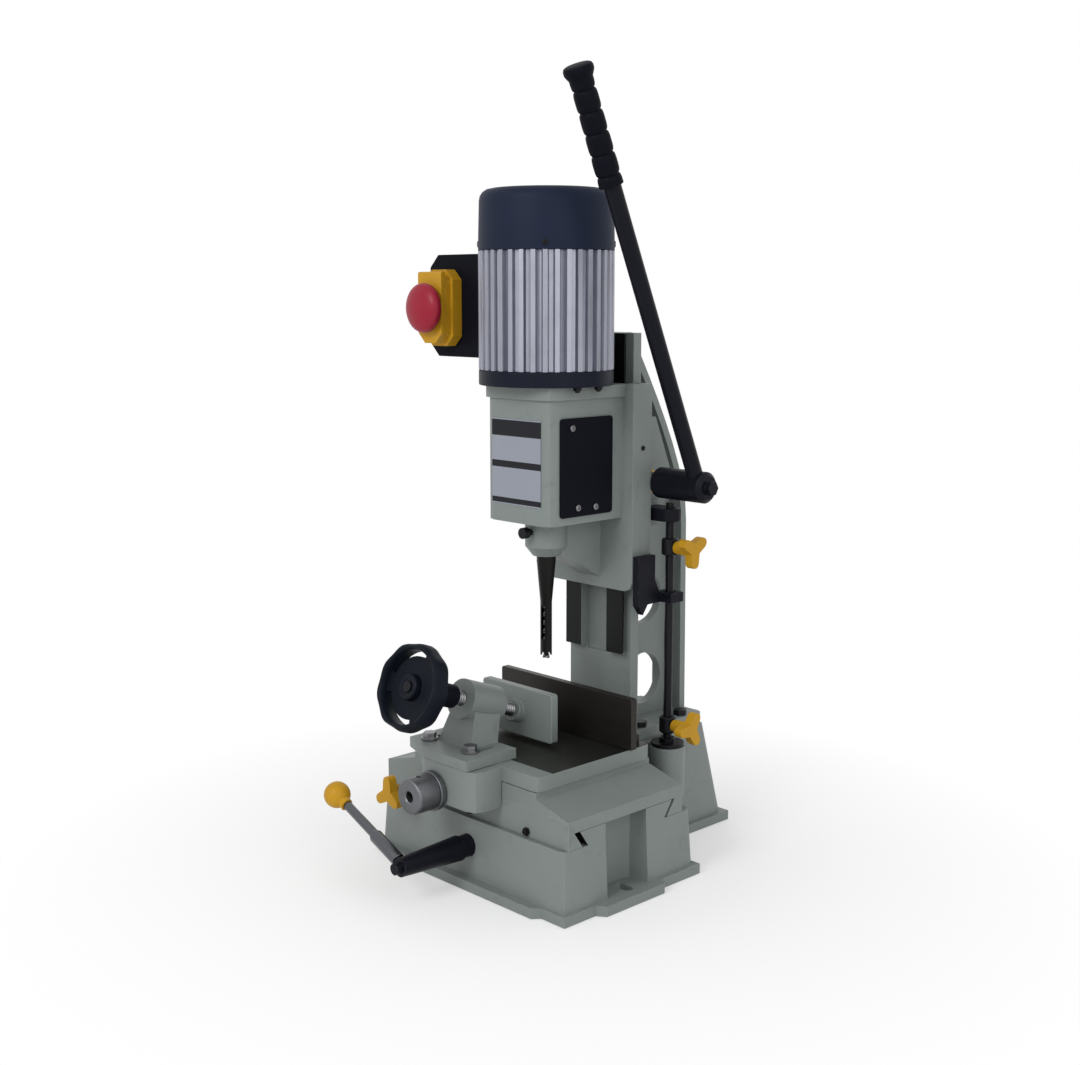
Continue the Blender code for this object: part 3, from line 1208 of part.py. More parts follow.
def auger_bit(spindle):
    """Twisted auger bit that runs inside the chisel."""
    sections = []
    for step in range(BIT_STEPS + 1):
        t = step / BIT_STEPS
        height = BIT_TIP_Z + t * (BIT_FLUTE_TOP_Z - BIT_TIP_Z)
        spin = math.tau * BIT_TURNS * t
        ring = []
        for corner in range(8):
            angle = math.tau * corner / 8 + spin
            radius = BIT_RADIUS if corner % 4 in (0, 1) else BIT_CORE_RADIUS
            ring.append((radius * math.cos(angle), radius * math.sin(angle), height))
        sections.append(ring)
    flutes = loft(sections)
    shank = bar(BIT_SHANK_RADIUS, (0, 0, BIT_FLUTE_TOP_Z - BIT_RADIUS), (0, 0, BIT_TOP_Z), ROUND_FINE)
    piece("auger_bit", fuse(flutes, shank), BRIGHT_STEEL, spindle)


def motor_shaft_base_z():
    """Lower end of the motor shaft, inside the chuck."""
    return (BIT_TOP_Z + CHUCK_TOP_Z) / 2


def drill_chuck(spindle):
    """Three-jaw chuck on the motor shaft."""
    groove_z = CHUCK_BOTTOM_Z + (CHUCK_TOP_Z - CHUCK_BOTTOM_Z) * CHUCK_GROOVE_SHARE
    body = turned([
        (0, CHUCK_BOTTOM_Z), (CHUCK_NOSE_RADIUS, CHUCK_BOTTOM_Z),
        (CHUCK_RADIUS, CHUCK_BOTTOM_Z + CHUCK_NOSE), (CHUCK_RADIUS, groove_z),
        (CHUCK_RADIUS - CHUCK_GROOVE, groove_z), (CHUCK_RADIUS - CHUCK_GROOVE, groove_z + CHUCK_GROOVE_WIDTH),
        (CHUCK_RADIUS, groove_z + CHUCK_GROOVE_WIDTH), (CHUCK_RADIUS, CHUCK_TOP_Z - CHUCK_GROOVE),
        (CHUCK_RADIUS - CHUCK_GROOVE, CHUCK_TOP_Z), (0, CHUCK_TOP_Z)])
    jaw_bore = bar(BIT_SHANK_RADIUS + FIT, (0, 0, CHUCK_BOTTOM_Z - OVERRUN), (0, 0, BIT_TOP_Z + FIT),
                   ROUND_FINE)
    shaft_bore = bar(MOTOR_SHAFT_TIP_RADIUS + FIT, (0, 0, motor_shaft_base_z() - FIT),
                     (0, 0, CHUCK_TOP_Z + OVERRUN), ROUND_FINE)
    piece("drill_chuck", cut(body, jaw_bore, shaft_bore), BRIGHT_STEEL, spindle)


def motor_levels():
    """Heights of the flange seat, the frame's two ends and the fan cover's top."""
    flange_z = HEAD_TOP_Z + FIT
    frame_z = flange_z + MOTOR_FLANGE + FIT
    frame_top_z = frame_z + MOTOR_FRAME_HEIGHT
    cover_z = frame_top_z + FIT
    return flange_z, frame_z, frame_top_z, cover_z


def motor_shaft(spindle):
    """Rotor, shaft and its tip for the chuck."""
    flange_z, frame_z, frame_top_z, cover_z = motor_levels()
    shaft = turned([
        (0, motor_shaft_base_z()), (MOTOR_SHAFT_TIP_RADIUS, motor_shaft_base_z()),
        (MOTOR_SHAFT_TIP_RADIUS, CHUCK_TOP_Z + FIT), (MOTOR_SHAFT_RADIUS, CHUCK_TOP_Z + FIT),
        (MOTOR_SHAFT_RADIUS, frame_z + ROTOR_GAP), (ROTOR_RADIUS, frame_z + ROTOR_GAP),
        (ROTOR_RADIUS, frame_top_z - 2 * ROTOR_GAP), (MOTOR_SHAFT_RADIUS, frame_top_z - 2 * ROTOR_GAP),
        (MOTOR_SHAFT_RADIUS, cover_z + FAN_RISE + FAN_HEIGHT), (0, cover_z + FAN_RISE + FAN_HEIGHT)])
    piece("motor_shaft", shaft, BRIGHT_STEEL, spindle)


def motor(head, spindle):
    """Flange, finned frame, fan, fan cover and lower bearing."""
    flange_z, frame_z, frame_top_z, cover_z = motor_levels()
    bearing_z = flange_z + (MOTOR_FLANGE - BEARING_HEIGHT) - FIT
    flange = turned([
        (MOTOR_SHAFT_RADIUS + 4 * FIT, flange_z - MOTOR_SPIGOT),
        (SPIGOT_RADIUS - FIT, flange_z - MOTOR_SPIGOT),
        (SPIGOT_RADIUS - FIT, flange_z), (MOTOR_FLANGE_RADIUS, flange_z),
        (MOTOR_FLANGE_RADIUS, flange_z + MOTOR_FLANGE), (BEARING_RADIUS + FIT, flange_z + MOTOR_FLANGE),
        (BEARING_RADIUS + FIT, bearing_z - FIT), (MOTOR_SHAFT_RADIUS + 4 * FIT, bearing_z - FIT)],
        segments=ROUND_LARGE)
    piece("motor_flange", flange, BLACK_PAINT, head)
    bearing = turned([
        (MOTOR_SHAFT_RADIUS + FIT, bearing_z), (BEARING_RADIUS, bearing_z),
        (BEARING_RADIUS, bearing_z + BEARING_HEIGHT), (MOTOR_SHAFT_RADIUS + FIT, bearing_z + BEARING_HEIGHT)])
    piece("motor_bearing", bearing, BRIGHT_STEEL, head)

    outline = []
    for fin in range(MOTOR_FINS):
        middle = math.tau * (fin + 0.5) / MOTOR_FINS
        root = MOTOR_DEEP_ROOT_RADIUS if fin % 3 == 0 else MOTOR_FIN_ROOT_RADIUS
        tip_half = MOTOR_FIN_THICKNESS / 2 / MOTOR_FIN_RADIUS
        root_half = MOTOR_FIN_THICKNESS * MOTOR_FIN_ROOT_SHARE / root
        for radius, angle in ((root, middle - root_half), (MOTOR_FIN_RADIUS, middle - tip_half),
                              (MOTOR_FIN_RADIUS, middle + tip_half), (root, middle + root_half)):
            outline.append((radius * math.cos(angle), radius * math.sin(angle)))
    frame = cut(prism(outline, frame_z, frame_top_z),
                bar(MOTOR_BORE_RADIUS, (0, 0, frame_z - OVERRUN), (0, 0, frame_top_z + OVERRUN),
                    ROUND_LARGE))
    piece("motor_frame", frame, BARE_ALUMINIUM, head)

    top = cover_z + FAN_COVER_HEIGHT
    crown = [(FAN_COVER_RADIUS - FAN_COVER_CROWN + u, top - FAN_COVER_CROWN + v)
             for u, v in arc((0, 0), FAN_COVER_CROWN, 0, math.pi / 2, 2 * CORNER_STEPS)]
    inner_crown = [(u - FAN_COVER_WALL, v - FAN_COVER_WALL) for u, v in reversed(crown)]
    shell = turned(
        [(FAN_COVER_SKIRT_RADIUS, cover_z), (FAN_COVER_SKIRT_RADIUS, cover_z + FAN_COVER_SKIRT)]
        + crown + [(0, top), (0, top - FAN_COVER_WALL)] + inner_crown
        + [(FAN_COVER_RADIUS - FAN_COVER_WALL, cover_z)], segments=ROUND_LARGE)
    vents = []
    for number in range(VENTS):
        vent = box((VENT_INNER_RADIUS, -VENT_WIDTH / 2, top - FAN_COVER_WALL - OVERRUN),
                   (VENT_OUTER_RADIUS, VENT_WIDTH / 2, top + OVERRUN))
        vent.transform(Matrix.Rotation(math.tau * number / VENTS, 4, "Z"))
        vents.append(vent)
    piece("fan_cover", cut(shell, *vents), NAVY_PLASTIC, head)

    fan_z = cover_z + FAN_RISE
    hub = bar(FAN_HUB_RADIUS, (0, 0, fan_z), (0, 0, fan_z + FAN_HEIGHT))
    plate = bar(FAN_RADIUS, (0, 0, fan_z), (0, 0, fan_z + FAN_PLATE), ROUND_LARGE)
    blades = []
    for number in range(FAN_BLADES):
        blade = box((FAN_HUB_RADIUS - FAN_BLADE, -FAN_BLADE / 2, fan_z + FAN_PLATE / 2),
                    (FAN_RADIUS - FAN_BLADE, FAN_BLADE / 2, fan_z + FAN_HEIGHT - FAN_BLADE))
        blade.transform(Matrix.Rotation(math.tau * number / FAN_BLADES, 4, "Z"))
        blades.append(blade)
    bore = bar(MOTOR_SHAFT_RADIUS + FIT, (0, 0, fan_z - OVERRUN), (0, 0, fan_z + FAN_HEIGHT + OVERRUN))
    piece("cooling_fan", cut(fuse(hub, plate, *blades), bore), BLACK_PLASTIC, spindle)


def switch(head):
    """Switch box on the motor, its yellow unit, stop flap and buttons."""
    outline = [
        (SWITCH_LEFT_X, SWITCH_BOTTOM_Z + SWITCH_CHAMFER),
        (SWITCH_LEFT_X + SWITCH_STEP, SWITCH_BOTTOM_Z + SWITCH_STEP),
        (SWITCH_LEFT_X + SWITCH_CHAMFER, SWITCH_BOTTOM_Z), (SWITCH_RIGHT_X, SWITCH_BOTTOM_Z),
        (SWITCH_RIGHT_X, SWITCH_TOP_Z), (SWITCH_LEFT_X + SWITCH_CHAMFER, SWITCH_TOP_Z),
        (SWITCH_LEFT_X + SWITCH_STEP, SWITCH_TOP_Z - SWITCH_STEP),
        (SWITCH_LEFT_X, SWITCH_TOP_Z - SWITCH_CHAMFER)]
    shell = prism(outline, SWITCH_FRONT_Y, SWITCH_REAR_Y, "Y")
    motor_room = bar(MOTOR_FIN_RADIUS + SWITCH_MOTOR_GAP, (0, 0, SWITCH_BOTTOM_Z - OVERRUN),
                     (0, 0, SWITCH_TOP_Z + OVERRUN), ROUND_LARGE)
    mouth = box((PLATE_LEFT_X + SWITCH_STEP, SWITCH_FRONT_Y - OVERRUN, PLATE_BOTTOM_Z + SWITCH_STEP),
                (PLATE_RIGHT_X - SWITCH_STEP, SWITCH_REAR_Y - SWITCH_WALL, PLATE_TOP_Z - SWITCH_STEP))
    piece("switch_box", cut(shell, motor_room, mouth), BLACK_PLASTIC, head)

    plate_y = SWITCH_FRONT_Y - FIT
    face_y = plate_y - PLATE_DEPTH
    unit = prism(clipped(PLATE_LEFT_X, PLATE_RIGHT_X, PLATE_BOTTOM_Z, PLATE_TOP_Z, PLATE_CORNER),
                 face_y + PLATE_STEP, plate_y, "Y")
    raised = prism(clipped(PLATE_LEFT_X + FLAP_INSET, PLATE_RIGHT_X - FLAP_INSET,
                           PLATE_BOTTOM_Z + FLAP_INSET, PLATE_TOP_Z - FLAP_INSET, PLATE_CORNER),
                   face_y, plate_y - PLATE_STEP, "Y")
    start_x = (PLATE_LEFT_X + PLATE_RIGHT_X) / 2
    reach = START_HALF_SIDE + FIT
    recess = box((start_x - reach, face_y - OVERRUN, START_Z - reach),
                 (start_x + reach, face_y + START_RECESS, START_Z + reach))
    stop_z = (PLATE_BOTTOM_Z + PLATE_TOP_Z) / 2
    stem_room = bar(STOP_STEM_RADIUS + FIT, (start_x, face_y - OVERRUN, stop_z),
                    (start_x, face_y + STOP_BORE_DEPTH, stop_z))
    piece("switch_unit", cut(fuse(unit, raised), recess, stem_room), YELLOW_PLASTIC, head)
    press = joint_frame("start_button_press", (start_x, face_y, START_Z), head)
    button = prism(rounded(start_x - START_HALF_SIDE, start_x + START_HALF_SIDE,
                           START_Z - START_HALF_SIDE, START_Z + START_HALF_SIDE, START_HALF_SIDE / 4),
                   face_y + FIT, face_y + FIT + START_DEPTH, "Y")
    piece("start_button", button, GREEN_PLASTIC, press)

    flap_y = face_y - FIT
    hinge_z = PLATE_TOP_Z - FLAP_HINGE_DROP
    hinge_y = flap_y - FLAP_THICKNESS / 2
    swing = joint_frame("stop_flap_swing", (start_x, hinge_y, hinge_z), head)
    flap = prism(clipped(PLATE_LEFT_X + FLAP_INSET, PLATE_RIGHT_X - FLAP_INSET,
                         PLATE_BOTTOM_Z + FLAP_INSET, hinge_z, PLATE_CORNER, (1, 1, 0, 0)),
                 flap_y - FLAP_THICKNESS, flap_y, "Y")
    knuckle = bar(FLAP_THICKNESS / 2, (PLATE_LEFT_X + FLAP_INSET, hinge_y, hinge_z),
                  (PLATE_RIGHT_X - FLAP_INSET, hinge_y, hinge_z), ROUND_FINE)
    bore = bar(STOP_STEM_RADIUS + FIT, (start_x, flap_y - FLAP_THICKNESS - OVERRUN, stop_z),
               (start_x, flap_y + OVERRUN, stop_z))
    piece("stop_flap", cut(fuse(flap, knuckle), bore), YELLOW_PLASTIC, swing)

    head_y = flap_y - FLAP_THICKNESS - STOP_TRAVEL_GAP
    push = joint_frame("stop_button_press", (start_x, head_y, stop_z), swing)
    turns = [math.pi / 2 * step / STOP_DOME_STEPS for step in range(STOP_DOME_STEPS)]
    dome = [(STOP_RADIUS * math.cos(angle),
             STOP_DOME * (STOP_SKIRT_SHARE + (1 - STOP_SKIRT_SHARE) * math.sin(angle)))
            for angle in turns]
    mushroom = turned(
        [(0, head_y - flap_y), (STOP_STEM_RADIUS, head_y - flap_y), (STOP_STEM_RADIUS, 0),
         (STOP_RADIUS, 0)] + dome + [(0, STOP_DOME)], (start_x, head_y, stop_z), (0, -1, 0))
    piece("stop_button", mushroom, RED_PLASTIC, push)


def feed_drive():
    """Bush, shaft, gear, hub, lever and grip of the head's feed."""
    bore = FEED_SHAFT_RADIUS + FIT
    seat = HOUSING_RIGHT_X + FIT
    bush = turned([
        (bore, seat - FEED_BUSH_DEPTH), (FEED_SHAFT_RADIUS + FEED_BUSH_WALL - FIT, seat - FEED_BUSH_DEPTH),
        (FEED_SHAFT_RADIUS + FEED_BUSH_WALL - FIT, seat), (FEED_BUSH_FLANGE_RADIUS, seat),
        (FEED_BUSH_FLANGE_RADIUS, seat + FEED_BUSH_FLANGE), (bore, seat + FEED_BUSH_FLANGE)],
        (0, FEED_Y, FEED_Z), (1, 0, 0))
    piece("feed_bush", bush, BRASS)

    turn = joint_frame("feed_lever_turn", (0, FEED_Y, FEED_Z))
    gear = cut(prism(moved(gear_outline(math.pi), FEED_Y, FEED_Z), -GEAR_WIDTH / 2, GEAR_WIDTH / 2, "X"),
               bar(FEED_SHAFT_RADIUS + FIT, (-GEAR_WIDTH, FEED_Y, FEED_Z), (GEAR_WIDTH, FEED_Y, FEED_Z)))
    piece("feed_gear", gear, BRIGHT_STEEL, turn)
    shaft = bar(FEED_SHAFT_RADIUS, (FEED_SHAFT_LEFT_X, FEED_Y, FEED_Z),
                (FEED_SHAFT_RIGHT_X, FEED_Y, FEED_Z))
    piece("feed_shaft", shaft, BRIGHT_STEEL, turn)

    hub = turned([
        (0, FEED_HUB_LEFT_X), (FEED_HUB_RADIUS, FEED_HUB_LEFT_X),
        (FEED_HUB_RADIUS, FEED_HUB_RIGHT_X - FEED_HUB_CHAMFER),
        (FEED_HUB_RADIUS - FEED_HUB_CHAMFER, FEED_HUB_RIGHT_X), (0, FEED_HUB_RIGHT_X)],
        (0, FEED_Y, FEED_Z), (1, 0, 0))
    nut_outline = moved(hexagon(FEED_HUB_NUT_RADIUS), FEED_Y, FEED_Z)
    nut = prism(nut_outline, FEED_HUB_RIGHT_X - FEED_HUB_CHAMFER, FEED_HUB_RIGHT_X + FEED_HUB_NUT, "X")
    lean = Vector((0, -math.sin(LEVER_LEAN), math.cos(LEVER_LEAN)))
    middle = Vector((LEVER_X, FEED_Y, FEED_Z))
    lever_bore = bar(LEVER_RADIUS + FIT, middle + lean * (LEVER_START - FIT),
                     middle + lean * (FEED_HUB_RADIUS + OVERRUN))
    shaft_bore = bar(FEED_SHAFT_RADIUS + FIT, (FEED_HUB_LEFT_X - OVERRUN, FEED_Y, FEED_Z),
                     (FEED_SHAFT_RIGHT_X + FIT, FEED_Y, FEED_Z))
    piece("feed_hub", cut(fuse(hub, nut), lever_bore, shaft_bore), BLACK_PAINT, turn)

    lever = bar(LEVER_RADIUS, middle + lean * LEVER_START,
                middle + lean * (LEVER_LENGTH - GRIP_CAP - FIT))
    piece("feed_lever", lever, BLACK_PAINT, turn)
    steps = 2 * GRIP_WAVES
    swell = (GRIP_RADIUS - GRIP_WAIST_RADIUS) / 2
    wave_length = GRIP_LENGTH - GRIP_END_BAND
    waves = [(GRIP_RADIUS - swell + swell * math.cos(math.pi * k),
              wave_length * k / steps) for k in range(steps + 1)]
    grip = turned(
        [(LEVER_RADIUS + FIT, 0)] + waves
        + [(GRIP_END_RADIUS, GRIP_LENGTH - GRIP_END_BAND / 2), (GRIP_END_RADIUS, GRIP_LENGTH - GRIP_CAP / 3),
           (GRIP_END_RADIUS - GRIP_CAP / 3, GRIP_LENGTH), (0, GRIP_LENGTH),
           (0, GRIP_LENGTH - GRIP_CAP), (LEVER_RADIUS + FIT, GRIP_LENGTH - GRIP_CAP)],
        middle + lean * (LEVER_LENGTH - GRIP_LENGTH), lean)
    piece("feed_grip", grip, BLACK_PLASTIC, turn)


def saddle_outline():
    """Cross-section of the saddle's plate and lips in (Y, Z) pairs."""
    front_root = WAY_FRONT_ROOT_Y - FIT
    front_top = WAY_FRONT_TOP_Y - FIT
    rear_root = WAY_REAR_ROOT_Y + FIT + SADDLE_SIDE_GIB
    rear_top = WAY_REAR_TOP_Y + FIT + SADDLE_SIDE_GIB
    roof = WAY_TOP_Z + FIT
    return [
        (SADDLE_FRONT_Y, SADDLE_LIP_Z), (front_root, SADDLE_LIP_Z), (front_top, roof),
        (rear_top, roof), (rear_root, SADDLE_LIP_Z), (SADDLE_REAR_Y, SADDLE_LIP_Z),
        (SADDLE_REAR_Y, SADDLE_EDGE_Z), (SADDLE_FRONT_Y, SADDLE_EDGE_Z)]


def saddle(saddle_slide):
    """Saddle with its sloped shoulders, groove, gib, rack and nut."""
    plate = prism(saddle_outline(), -BASE_HALF_WIDTH, BASE_HALF_WIDTH, "X")
    inside = SADDLE_EDGE_Z - FIT
    crest = prism([
        (-BASE_HALF_WIDTH + FIT, inside), (BASE_HALF_WIDTH - FIT, inside),
        (SADDLE_CREST_HALF_WIDTH, SADDLE_CREST_Z - SADDLE_CREST_DROP),
        (SADDLE_CREST_HALF_WIDTH, SADDLE_CREST_Z), (-SADDLE_CREST_HALF_WIDTH, SADDLE_CREST_Z),
        (-SADDLE_CREST_HALF_WIDTH, SADDLE_CREST_Z - SADDLE_CREST_DROP),
    ], SADDLE_FRONT_Y + FIT, SADDLE_REAR_Y - FIT, "Y")
    body = fuse(plate, crest)
    groove = prism([
        (TONGUE_CENTRE_X - TONGUE_HALF_WIDTH - FIT, GROOVE_FLOOR_Z),
        (TONGUE_CENTRE_X + TONGUE_HALF_WIDTH + FIT, GROOVE_FLOOR_Z),
        (TONGUE_CENTRE_X + TONGUE_ROOT_HALF_WIDTH + FIT, SADDLE_CREST_Z + FIT),
        (TONGUE_CENTRE_X - TONGUE_ROOT_HALF_WIDTH - FIT, SADDLE_CREST_Z + FIT),
    ], SADDLE_FRONT_Y - OVERRUN, SADDLE_REAR_Y + OVERRUN, "Y")
    screw_room = CROSS_RADIUS + 3 * FIT
    screw_channel = box((CROSS_X - screw_room, SADDLE_FRONT_Y - OVERRUN, CROSS_Z - screw_room),
                        (CROSS_X + screw_room, CROSS_REAR_Y + OVERRUN, GROOVE_FLOOR_Z + OVERRUN))
    nut_room = box((CROSS_X - NUT_HALF_WIDTH - FIT, NUT_FRONT_Y - FIT, NUT_FLOOR_Z - FIT),
                   (CROSS_X + NUT_HALF_WIDTH + FIT, NUT_REAR_Y + FIT, GROOVE_FLOOR_Z + OVERRUN))
    stud = bar(KNOB_STUD_RADIUS + FIT, (LOCK_KNOB_X, SADDLE_FRONT_Y - OVERRUN, LOCK_KNOB_Z),
               (LOCK_KNOB_X, SADDLE_FRONT_Y + LOCK_KNOB_DEPTH, LOCK_KNOB_Z), ROUND_FINE)
    piece("saddle_casting", cut(body, groove, screw_channel, nut_room, stud), CAST_PAINT, saddle_slide)

    thick = SADDLE_SIDE_GIB - 2 * FIT
    root = WAY_REAR_ROOT_Y + 2 * FIT
    top = WAY_REAR_TOP_Y + 2 * FIT
    gib = prism([(root, SADDLE_LIP_Z), (root + thick, SADDLE_LIP_Z),
                 (top + thick, WAY_TOP_Z), (top, WAY_TOP_Z)],
                -BASE_HALF_WIDTH + GIB_END_SHORTFALL, BASE_HALF_WIDTH - GIB_END_SHORTFALL, "X")
    piece("saddle_gib", gib, BRIGHT_STEEL, saddle_slide)

    pitch = math.pi * GEAR_MODULE
    start = -pitch * SADDLE_RACK_LEFT_PITCHES - pitch / 2
    pitch_z = TRAVERSE_Z + gear_pitch_radius()
    back = WAY_TOP_Z - pitch_z
    outline = [(u, v + pitch_z) for u, v in rack_outline(start, SADDLE_RACK_PITCHES, back)]
    middle_y = TRAVERSE_GEAR_FRONT_Y + GEAR_WIDTH / 2
    rack = prism(outline, middle_y - RACK_HALF_WIDTH, middle_y + RACK_HALF_WIDTH, "Y")
    piece("saddle_rack", rack, BRIGHT_STEEL, saddle_slide)

    nut = box((CROSS_X - NUT_HALF_WIDTH, NUT_FRONT_Y, NUT_FLOOR_Z),
              (CROSS_X + NUT_HALF_WIDTH, NUT_REAR_Y, NUT_TOP_Z))
    thread = bar(CROSS_RADIUS + FIT, (CROSS_X, NUT_FRONT_Y - OVERRUN, CROSS_Z),
                 (CROSS_X, NUT_REAR_Y + OVERRUN, CROSS_Z))
    piece("cross_nut", cut(nut, thread), BRASS, saddle_slide)

    knob_y = SADDLE_FRONT_Y - LOCK_KNOB_STANDOFF
    turn = joint_frame("saddle_lock_turn", (LOCK_KNOB_X, knob_y, LOCK_KNOB_Z), saddle_slide)
    knob = lobed_knob((LOCK_KNOB_X, knob_y, LOCK_KNOB_Z), (0, -1, 0), math.pi / 2,
                      LOCK_KNOB_STANDOFF + LOCK_KNOB_DEPTH - FIT)
    piece("saddle_lock_knob", knob, YELLOW_PLASTIC, turn)


def traverse_drive():
    """Shaft, gear, hub, lever and ball that move the saddle."""
    turn = joint_frame("traverse_lever_turn", (0, 0, TRAVERSE_Z))
    shaft = turned([
        (0, -BEARING_RIB_REAR_Y), (TRAVERSE_SHAFT_RADIUS, -BEARING_RIB_REAR_Y),
        (TRAVERSE_SHAFT_RADIUS, -TROUGH_FRONT_Y), (TRAVERSE_JOURNAL_RADIUS, -TROUGH_FRONT_Y),
        (TRAVERSE_JOURNAL_RADIUS, -FRONT_LUG_Y), (0, -FRONT_LUG_Y)],
        (0, 0, TRAVERSE_Z), (0, -1, 0))
    piece("traverse_shaft", shaft, BRIGHT_STEEL, turn)
    gear_rear_y = TRAVERSE_GEAR_FRONT_Y + GEAR_WIDTH
    gear = cut(prism(moved(gear_outline(math.pi / 2), 0, TRAVERSE_Z),
                     TRAVERSE_GEAR_FRONT_Y, gear_rear_y, "Y"),
               bar(TRAVERSE_SHAFT_RADIUS + FIT, (0, TROUGH_FRONT_Y, TRAVERSE_Z),
                   (0, TROUGH_REAR_Y, TRAVERSE_Z)))
    piece("traverse_gear", gear, BRIGHT_STEEL, turn)

    hub_start = -FRONT_LUG_Y + FIT
    hub = turned([
        (0, hub_start), (TRAVERSE_HUB_RADIUS, hub_start), (TRAVERSE_HUB_END_RADIUS, -TRAVERSE_HUB_END_Y),
        (TRAVERSE_NOSE_RADIUS, -TRAVERSE_HUB_END_Y),
        (TRAVERSE_NOSE_RADIUS, -TRAVERSE_HUB_END_Y + TRAVERSE_NOSE),
        (0, -TRAVERSE_HUB_END_Y + TRAVERSE_NOSE)],
        (0, 0, TRAVERSE_Z), (0, -1, 0))
    lean = Vector((-math.sin(TRAVERSE_LEVER_LEAN), 0, math.cos(TRAVERSE_LEVER_LEAN)))
    middle = Vector((0, TRAVERSE_LEVER_Y, TRAVERSE_Z))
    bore = bar(TRAVERSE_LEVER_RADIUS + FIT, middle + lean * (TRAVERSE_LEVER_START - FIT),
               middle + lean * (TRAVERSE_HUB_RADIUS + OVERRUN), ROUND_FINE)
    piece("traverse_hub", cut(hub, bore), BLACK_PAINT, turn)
    ball_place = middle + lean * TRAVERSE_LEVER_LENGTH
    lever = bar(TRAVERSE_LEVER_RADIUS, middle + lean * TRAVERSE_LEVER_START, ball_place, ROUND_FINE)
    piece("traverse_lever", lever, CHROME, turn)
    neck = math.acos(-math.sqrt(1 - (BALL_NECK_RADIUS / BALL_RADIUS) ** 2))
    turns = [neck * (1 - step / BALL_STEPS) for step in range(BALL_STEPS)]
    shell = [(BALL_RADIUS * math.sin(angle), BALL_RADIUS * math.cos(angle)) for angle in turns]
    bore_radius = TRAVERSE_LEVER_RADIUS + FIT
    ball = turned(
        [(bore_radius, -BALL_RADIUS - BALL_NECK / 2), (BALL_NECK_RADIUS, -BALL_RADIUS - BALL_NECK / 2)]
        + shell + [(0, BALL_RADIUS), (0, FIT), (bore_radius, FIT)], ball_place, lean, ROUND_FINE)
    piece("traverse_ball", ball, YELLOW_PLASTIC, turn)


def table(table_slide):
    """Table with its nose for the cross screw and its dovetail tongue."""
    plate = prism(rounded(-TABLE_HALF_WIDTH, TABLE_HALF_WIDTH, TABLE_FRONT_Y, TABLE_REAR_Y, TABLE_CORNER),
                  TABLE_BOTTOM_Z, TABLE_TOP_Z)
    inside_z = TABLE_BOTTOM_Z + FIT
    tongue = prism([
        (TONGUE_CENTRE_X - TONGUE_HALF_WIDTH, GROOVE_FLOOR_Z + FIT),
        (TONGUE_CENTRE_X + TONGUE_HALF_WIDTH, GROOVE_FLOOR_Z + FIT),
        (TONGUE_CENTRE_X + TONGUE_ROOT_HALF_WIDTH, inside_z),
        (TONGUE_CENTRE_X - TONGUE_ROOT_HALF_WIDTH, inside_z),
    ], NOSE_REAR_Y - FIT, TABLE_REAR_Y - FIT, "Y")
    nose = prism(rounded(-NOSE_HALF_WIDTH, NOSE_HALF_WIDTH, NOSE_FRONT_Y, NOSE_REAR_Y, NOSE_CORNER,
                         (1, 1, 0, 0)),
                 NOSE_BOTTOM_Z, TABLE_TOP_Z - FIT)
    ledge = box((-NOSE_HALF_WIDTH, NOSE_REAR_Y - OVERRUN, inside_z),
                (NOSE_HALF_WIDTH, TABLE_FRONT_Y + OVERRUN, TABLE_TOP_Z - FIT))
    ear = prism(rounded(VISE_X - CLAMP_SLOT_X - CLAMP_EAR_RADIUS, NOSE_CORNER - NOSE_HALF_WIDTH,
                        CLAMP_BOLT_Y - CLAMP_EAR_RADIUS, TABLE_FRONT_Y + OVERRUN, CLAMP_EAR_RADIUS,
                        (1, 0, 0, 0)),
                inside_z, TABLE_TOP_Z - FIT)
    body = fuse(plate, tongue, nose, ledge, ear)
    relief = box((CROSS_X - SCREW_RELIEF_HALF_WIDTH, NOSE_REAR_Y, GROOVE_FLOOR_Z - OVERRUN),
                 (CROSS_X + SCREW_RELIEF_HALF_WIDTH, TABLE_REAR_Y + OVERRUN, NUT_TOP_Z + FIT))
    journal = bar(CROSS_JOURNAL_RADIUS + FIT, (CROSS_X, NOSE_FRONT_Y - OVERRUN, CROSS_Z),
                  (CROSS_X, NOSE_REAR_Y + OVERRUN, CROSS_Z))
    taps = [
        bar(CLAMP_BOLT_RADIUS + FIT, (VISE_X + side * CLAMP_SLOT_X, CLAMP_BOLT_Y, bolt_tip_z() - OVERRUN),
            (VISE_X + side * CLAMP_SLOT_X, CLAMP_BOLT_Y, TABLE_TOP_Z + OVERRUN), ROUND_FINE)
        for side in (-1, 1)
    ]
    piece("table_casting", cut(body, relief, journal, *taps), CAST_PAINT, table_slide)


def bolt_tip_z():
    """Lower end of the bracket bolts."""
    return TABLE_TOP_Z + 2 * FIT + BRACKET_HEIGHT - CLAMP_BOLT_DEPTH


